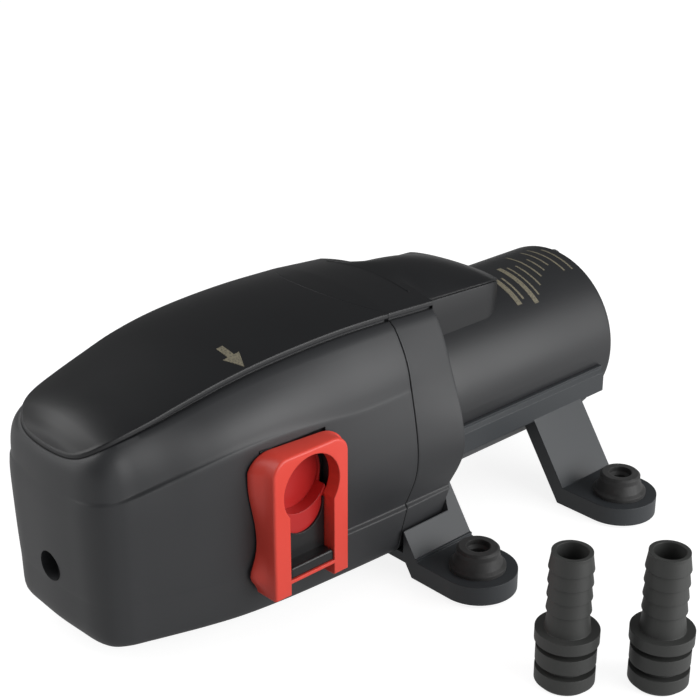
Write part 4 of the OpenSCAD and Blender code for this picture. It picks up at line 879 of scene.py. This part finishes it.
class PortClip:
    """A red sliding clip: a face plate with a keyhole, and flared finger grips behind it."""
    EDGE = 0.9
    # The grip's curve: share of the flare, and height
    GRIP = ((0, 0), (0.15, 1.5), (0.45, 3.2), (0.85, 5), (1, 6.8), (0.88, 8.6), (0.6, 10.6), (0.3, 13),
            (0.08, 15.8), (0, 18.5), (0.04, 22), (0.2, 26), (0.5, 30.5), (0.8, 35), (0.96, 38.4), (1, 41))

    def __init__(self, plan: PortPlan, name: str, left: bool) -> None:
        self.plan, self.name, self.left = plan, name, left

    def outline(self, flare: float, inset: float) -> list[tuple[float, float]]:
        """Returns the clip's outline across and up, flared at its grips and set in all round."""
        p = self.plan
        w, h, c = p.width / 2, p.height, p.corner
        side = [(w + flare * share, z) for share, z in self.GRIP]
        side += [(w + flare * (1 - k / 12) - c * (1 - math.cos(math.radians(7.5 * k))),
                  h - c * (1 - math.sin(math.radians(7.5 * k)))) for k in range(13)]
        right = []
        for i, (x, z) in enumerate(side):
            before, after = side[max(0, i - 1)], side[min(len(side) - 1, i + 1)]
            dx, dz = after[0] - before[0], after[1] - before[1]
            size = math.hypot(dx, dz) or 1
            right.append((x - inset * dz / size, max(0.0, z + inset * dx / size) if i else inset * 0.6))
        return right + [(-x, z) for x, z in reversed(right)]

    def ring(self, x: float, flare: float, inset: float = 0.0, follow: float = 0.0) -> list[Point]:
        """Returns the outline at depth x; follow leans it along the head's wall."""
        p = self.plan
        return [(x + follow * y, p.port_y + y, p.z0 + z) for y, z in self.outline(flare, inset)]

    def build(self) -> None:
        """Builds the clip."""
        p = self.plan
        back, plate = p.wall_x + p.gap, p.face_x - p.plate_t
        rings = [self.ring(back, p.flare, 0, p.wall_slope), self.ring(back + 0.8, p.flare, 0, p.wall_slope),
                 self.ring(mix(back, plate, 0.6), p.flare * 0.72, 0, p.wall_slope * 0.4),
                 self.ring(plate + 0.6, p.flare * 0.3, 0), self.ring(plate + 2.0, p.flare * 0.1, 0)]
        for k in range(7):
            a = math.radians(15 * k)
            rings.append(self.ring(p.face_x - self.EDGE * (1 - math.sin(a)), 0, self.EDGE * (1 - math.cos(a))))
        piece = Piece(self.name + "_skin").grid(rings, close=True).fan(rings[0]).fan(rings[-1])
        clip = piece.make(Finish.CLIP, "clip_red", [self.name], self.name, 35, self.left)
        side = -1 if self.left else 1

        def across(low: float, high: float, y: float, z0: float, z1: float) -> Object:
            a, b = sorted((side * low, side * high))
            return box_cutter((a, p.port_y - y, z0), (b, p.port_y + y, z1))

        cut_away(clip, [
            across(back - 4, plate, p.width / 2 - p.skirt_t, p.z0 - 1, p.z0 + p.height - p.skirt_t),
            round_cutter((side * p.face_x, p.port_y, p.keyhole_z), "X", p.hole_d / 2, 30),
            across(plate - 1, p.face_x + 1, p.slot_w / 2, p.bar_z0 - p.gap, p.keyhole_z),
            across(plate - 1, p.face_x + 1, p.slot_w / 2, p.z0 - 1, p.bar_z0 - p.gap - p.cross_bar)])
        bevel_edges(clip, 0.35, 2, 50)
        clip.data.set_sharp_from_angle(angle=math.radians(35))


class PortInserts:
    """What shows through a clip's keyhole: the guide with its thumb bar, and the plug's closed front."""
    GUIDE_X = (44.6, 47.2)
    HORN_TOP = 1.2
    BAR_X = 51.8
    BAR_H = 4.0
    CRADLE_R = 8.8
    PLUG_X = (40.9, 46.34)
    PLUG_R = 11.4
    SCOOP_X = 41.5
    SCOOP_R = 11.12

    def __init__(self, plan: PortPlan, left: bool) -> None:
        self.plan, self.left = plan, left
        self.side = -1 if left else 1

    def guide(self) -> None:
        """Builds the guide, cut to a cradle under the plug, and its thumb bar."""
        p, half = self.plan, self.plan.slot_w / 2 - self.plan.gap
        x0, x1 = self.GUIDE_X
        low, high = p.port_y - half, p.port_y + half
        bar_top = p.bar_z0 + self.BAR_H
        guide = Piece("port_guide").box((x0, low, bar_top - 0.4), (x1, high, p.port_z + self.HORN_TOP)).make(
            Finish.FRAME, "rubber", mirror_x=self.left)
        cut_away(guide, [round_cutter((self.side * x1, p.port_y, p.port_z), "X", self.CRADLE_R, 30)])
        bar = Piece("port_thumb_bar").box((x0, low, p.bar_z0), (self.BAR_X, high, bar_top)).make(
            Finish.FRAME, "rubber", mirror_x=self.left)
        bevel_edges(bar, 0.9, 3, 40)
        bevel_edges(guide, 0.5, 3, 40)

    def plug_front(self) -> None:
        """Builds the closed front of the plug, hollowed by the finger scoop."""
        p, reach = self.plan, 30.0
        front = self._drum("plug_front", self.PLUG_R, p.port_z, self.PLUG_X)
        cut_away(front, [round_cutter((self.side * (self.SCOOP_X + reach / 2), p.port_y, p.keyhole_z), "X",
                                      self.SCOOP_R, reach)])
        self._drum("plug_scoop_floor", self.SCOOP_R, p.keyhole_z, (self.PLUG_X[0], self.SCOOP_X + 0.08))

    def _drum(self, name: str, radius: float, z: float, reach: tuple[float, float]) -> Object:
        rings = [circle(x, self.plan.port_y, z, radius, 96) for x in reach]
        piece = Piece(name).grid(rings, close=True).fan(rings[0]).fan(rings[1])
        return piece.make(Finish.PLUG, "plug_red", mirror_x=self.left)


# ---- printed marks
class PrintedMarks:
    """Plain printing: a flow arrow on the front cover, and blank bars where the motor has its rating block."""
    LIFT = 0.06

    def __init__(self, covers: Covers) -> None:
        self.covers = covers

    def _on_cover(self, x: float, y: float) -> Point:
        low, high = 3.0, float(self.covers.lines.last)
        for _ in range(26):
            u = (low + high) / 2
            low, high = (u, high) if self.covers.top_point(u, 0)[1] < y else (low, u)
        half = self.covers.top_point(low, 1)[0]
        p = self.covers.top_point(low, x / half)
        return (p[0], p[1], p[2] + self.LIFT)

    def arrow(self) -> None:
        """Builds an arrow across the cover that points to the outlet."""
        y0, tail, neck, tip, shaft, head = -109.5, 15.5, 21.5, 28.3, 1.3, 3.4
        piece = Piece("flow_arrow_print")
        for low, high, wide, narrow in ((tail, neck, shaft, shaft), (neck, tip, head, 0.0)):
            rows = [(mix(low, high, t), mix(wide, narrow, t)) for t in span(0, 1, 8)]
            piece.grid([[self._on_cover(x, y0 + half * s) for s in span(-1, 1, 4)] for x, half in rows])
        piece.make(Finish.PRINT, "cover_black")

    def rating_bars(self) -> None:
        """Builds blank bars round the motor can, where a rating block is printed."""
        radius, z0 = CAN_R + self.LIFT, self.covers.lines.shaft_z
        piece = Piece("rating_block_print")
        # each bar: where it starts round the can in degrees, its length, its height
        rows = ((38, 17, 2.6), (35, 12, 1.0), (41, 21, 2.4), (36, 17, 0.9), (30, 13, 0.9), (24, 18, 0.9),
                (20, 9, 0.9), (17, 14, 0.9), (26, 19, 0.9), (27, 16, 0.9))
        for k, (start, length, height) in enumerate(rows):
            y = 31.5 + k * 4.3
            turns = [math.radians(a) for a in span(start - length * 1.8, start, 16)]
            piece.grid([[(radius * math.sin(a), y + height * s, z0 + radius * math.cos(a)) for s in (0, 1)]
                        for a in turns])
        piece.make(Finish.PRINT, "motor_paint")


# ---- studio
@dataclass(frozen=True)
class Studio:
    """Camera, soft lights, floor and backdrop.

    Attributes:
        eye: Camera position in metres.
        aim: Point that the camera looks at, in metres.
        lens_mm: Focal length on a 36 mm sensor.
        floor_glow: Share of white that the floor shows of itself; the lights add the rest.
        mirrored: Share of that white that surfaces mirror.
        sky_mirrored: Share of white that they mirror from the surround.
        ambient: Strength of the light from all round.
        floor_reach: Half the floor's width, in metres.
        middle: Point that the lights face, in metres.
    """
    eye: Point = (0.3748, -0.38535, 0.2927)
    aim: Point = (-0.0010, -0.03625, 0.0680)
    lens_mm: float = 78.04
    floor_glow: float = 0.86
    mirrored: float = 0.42
    sky_mirrored: float = 0.12
    ambient: float = 0.4
    floor_reach: float = 3.0
    middle: Point = (0.0, -0.04, 0.05)

    def camera(self) -> None:
        """Adds the camera."""
        data = bpy.data.cameras.new("camera")
        data.lens, data.sensor_width, data.clip_start = self.lens_mm, 36.0, 0.01
        bpy.context.scene.camera = self._aimed("camera", data, self.eye, self.aim)

    def softbox(self, name: str, eye: Point, size: tuple[float, float], power: float) -> None:
        """Adds one rectangular light that faces the object's middle."""
        data = bpy.data.lights.new(name, "AREA")
        data.shape, data.size, data.size_y, data.energy = "RECTANGLE", size[0], size[1], power
        self._aimed(name, data, eye, self.middle)

    @staticmethod
    def _aimed(name: str, data: bpy.types.ID, eye: Point, aim: Point) -> Object:
        obj = place(name, data)
        obj.location = eye
        obj.rotation_euler = (Vector(aim) - Vector(eye)).to_track_quat("-Z", "Y").to_euler()
        return obj

    def backdrop(self) -> None:
        """Adds a white floor and surround, which the camera sees as plain white."""
        bpy.context.scene.view_settings.view_transform = "Standard"
        g = NodeGraph.material("studio_white_paper")
        path = g.add("ShaderNodeLightPath")
        shine = g.math("MULTIPLY", path.outputs["Is Glossy Ray"], self.mirrored)
        seen = g.math("MAXIMUM", path.outputs["Is Camera Ray"], shine)
        paper = g.add("ShaderNodeBsdfDiffuse", {}, {"Color": linear_colour("#9a9a9a")})
        plain = g.add("ShaderNodeEmission", {}, {
            "Color": (1, 1, 1, 1), "Strength": g.math("MULTIPLY", seen, self.floor_glow)})
        both = g.add("ShaderNodeAddShader", {}, {0: paper.outputs["BSDF"], 1: plain.outputs["Emission"]})
        mesh = bpy.data.meshes.new("studio_floor")
        r = self.floor_reach
        mesh.from_pydata([(-r, -r, 0), (r, -r, 0), (r, r, 0), (-r, r, 0)], [], [(0, 1, 2, 3)])
        mesh.materials.append(g.end(both.outputs["Shader"]))
        place("studio_floor", mesh)
        bpy.context.scene.world = bpy.data.worlds.new("studio")
        g = NodeGraph(bpy.context.scene.world)
        path = g.add("ShaderNodeLightPath")
        level: float | Socket = 0.0
        for ray, strength in (("Is Camera Ray", 1.0), ("Is Transmission Ray", 1.0),
                              ("Is Glossy Ray", self.sky_mirrored), ("Is Diffuse Ray", self.ambient)):
            level = g.math("MULTIPLY_ADD", path.outputs[ray], strength, level)
        sky = g.add("ShaderNodeBackground", {}, {"Color": (1, 1, 1, 1), "Strength": level})
        g.end(sky.outputs["Background"], "ShaderNodeOutputWorld")

    def build(self) -> None:
        """Sets up the whole studio."""
        self.camera()
        self.backdrop()
        self.softbox("softbox_right_back", (0.95, 0.32, 0.36), (1.1, 0.8), 12.5)
        self.softbox("softbox_left", (-0.75, -0.62, 0.85), (0.9, 0.7), 5.5)
        self.softbox("softbox_front", (-0.60, -0.90, 0.25), (0.6, 0.5), 2.0)


# ---- assembly
class PumpLooks:
    """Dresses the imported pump."""

    def __init__(self) -> None:
        self.lines = HeadLines()
        self.rim = ShellRim()
        self.ports = PortPlan()
        self.covers = Covers(self.lines)

    def dress_carried(self) -> None:
        """Gives every CAD node that keeps its mesh its finish, smooth shading and bevelled edges."""
        for finish, (names, bevel_mm) in CARRIED.items():
            for name in names:
                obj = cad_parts[name]
                obj.data.materials.clear()
                obj.data.materials.append(finish.material())
                shade(obj, 28)
                if bevel_mm:
                    bevel_edges(obj, bevel_mm, 2, 40)

    def build(self) -> None:
        """Builds every replaced piece in order."""
        self.dress_carried()
        LOG.info("carried nodes dressed")
        HeadShell(self.lines, self.rim, self.ports).build()
        Collar(self.lines, self.rim).build()
        self.covers.build()
        LOG.info("shells built")
        for name, left in (("outlet_clip", False), ("inlet_clip", True)):
            PortClip(self.ports, name, left).build()
            inserts = PortInserts(self.ports, left)
            inserts.guide()
            inserts.plug_front()
        marks = PrintedMarks(self.covers)
        marks.arrow()
        marks.rating_bars()
        LOG.info("ports and marks built")


def main() -> None:
    """Builds the studio and the pump's looks."""
    logging.basicConfig(level=logging.INFO, format="%(name)s: %(message)s")
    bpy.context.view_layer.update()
    Studio().build()
    PumpLooks().build()
    LOG.info("sizes written")


if __name__ == "__main__":
    main()
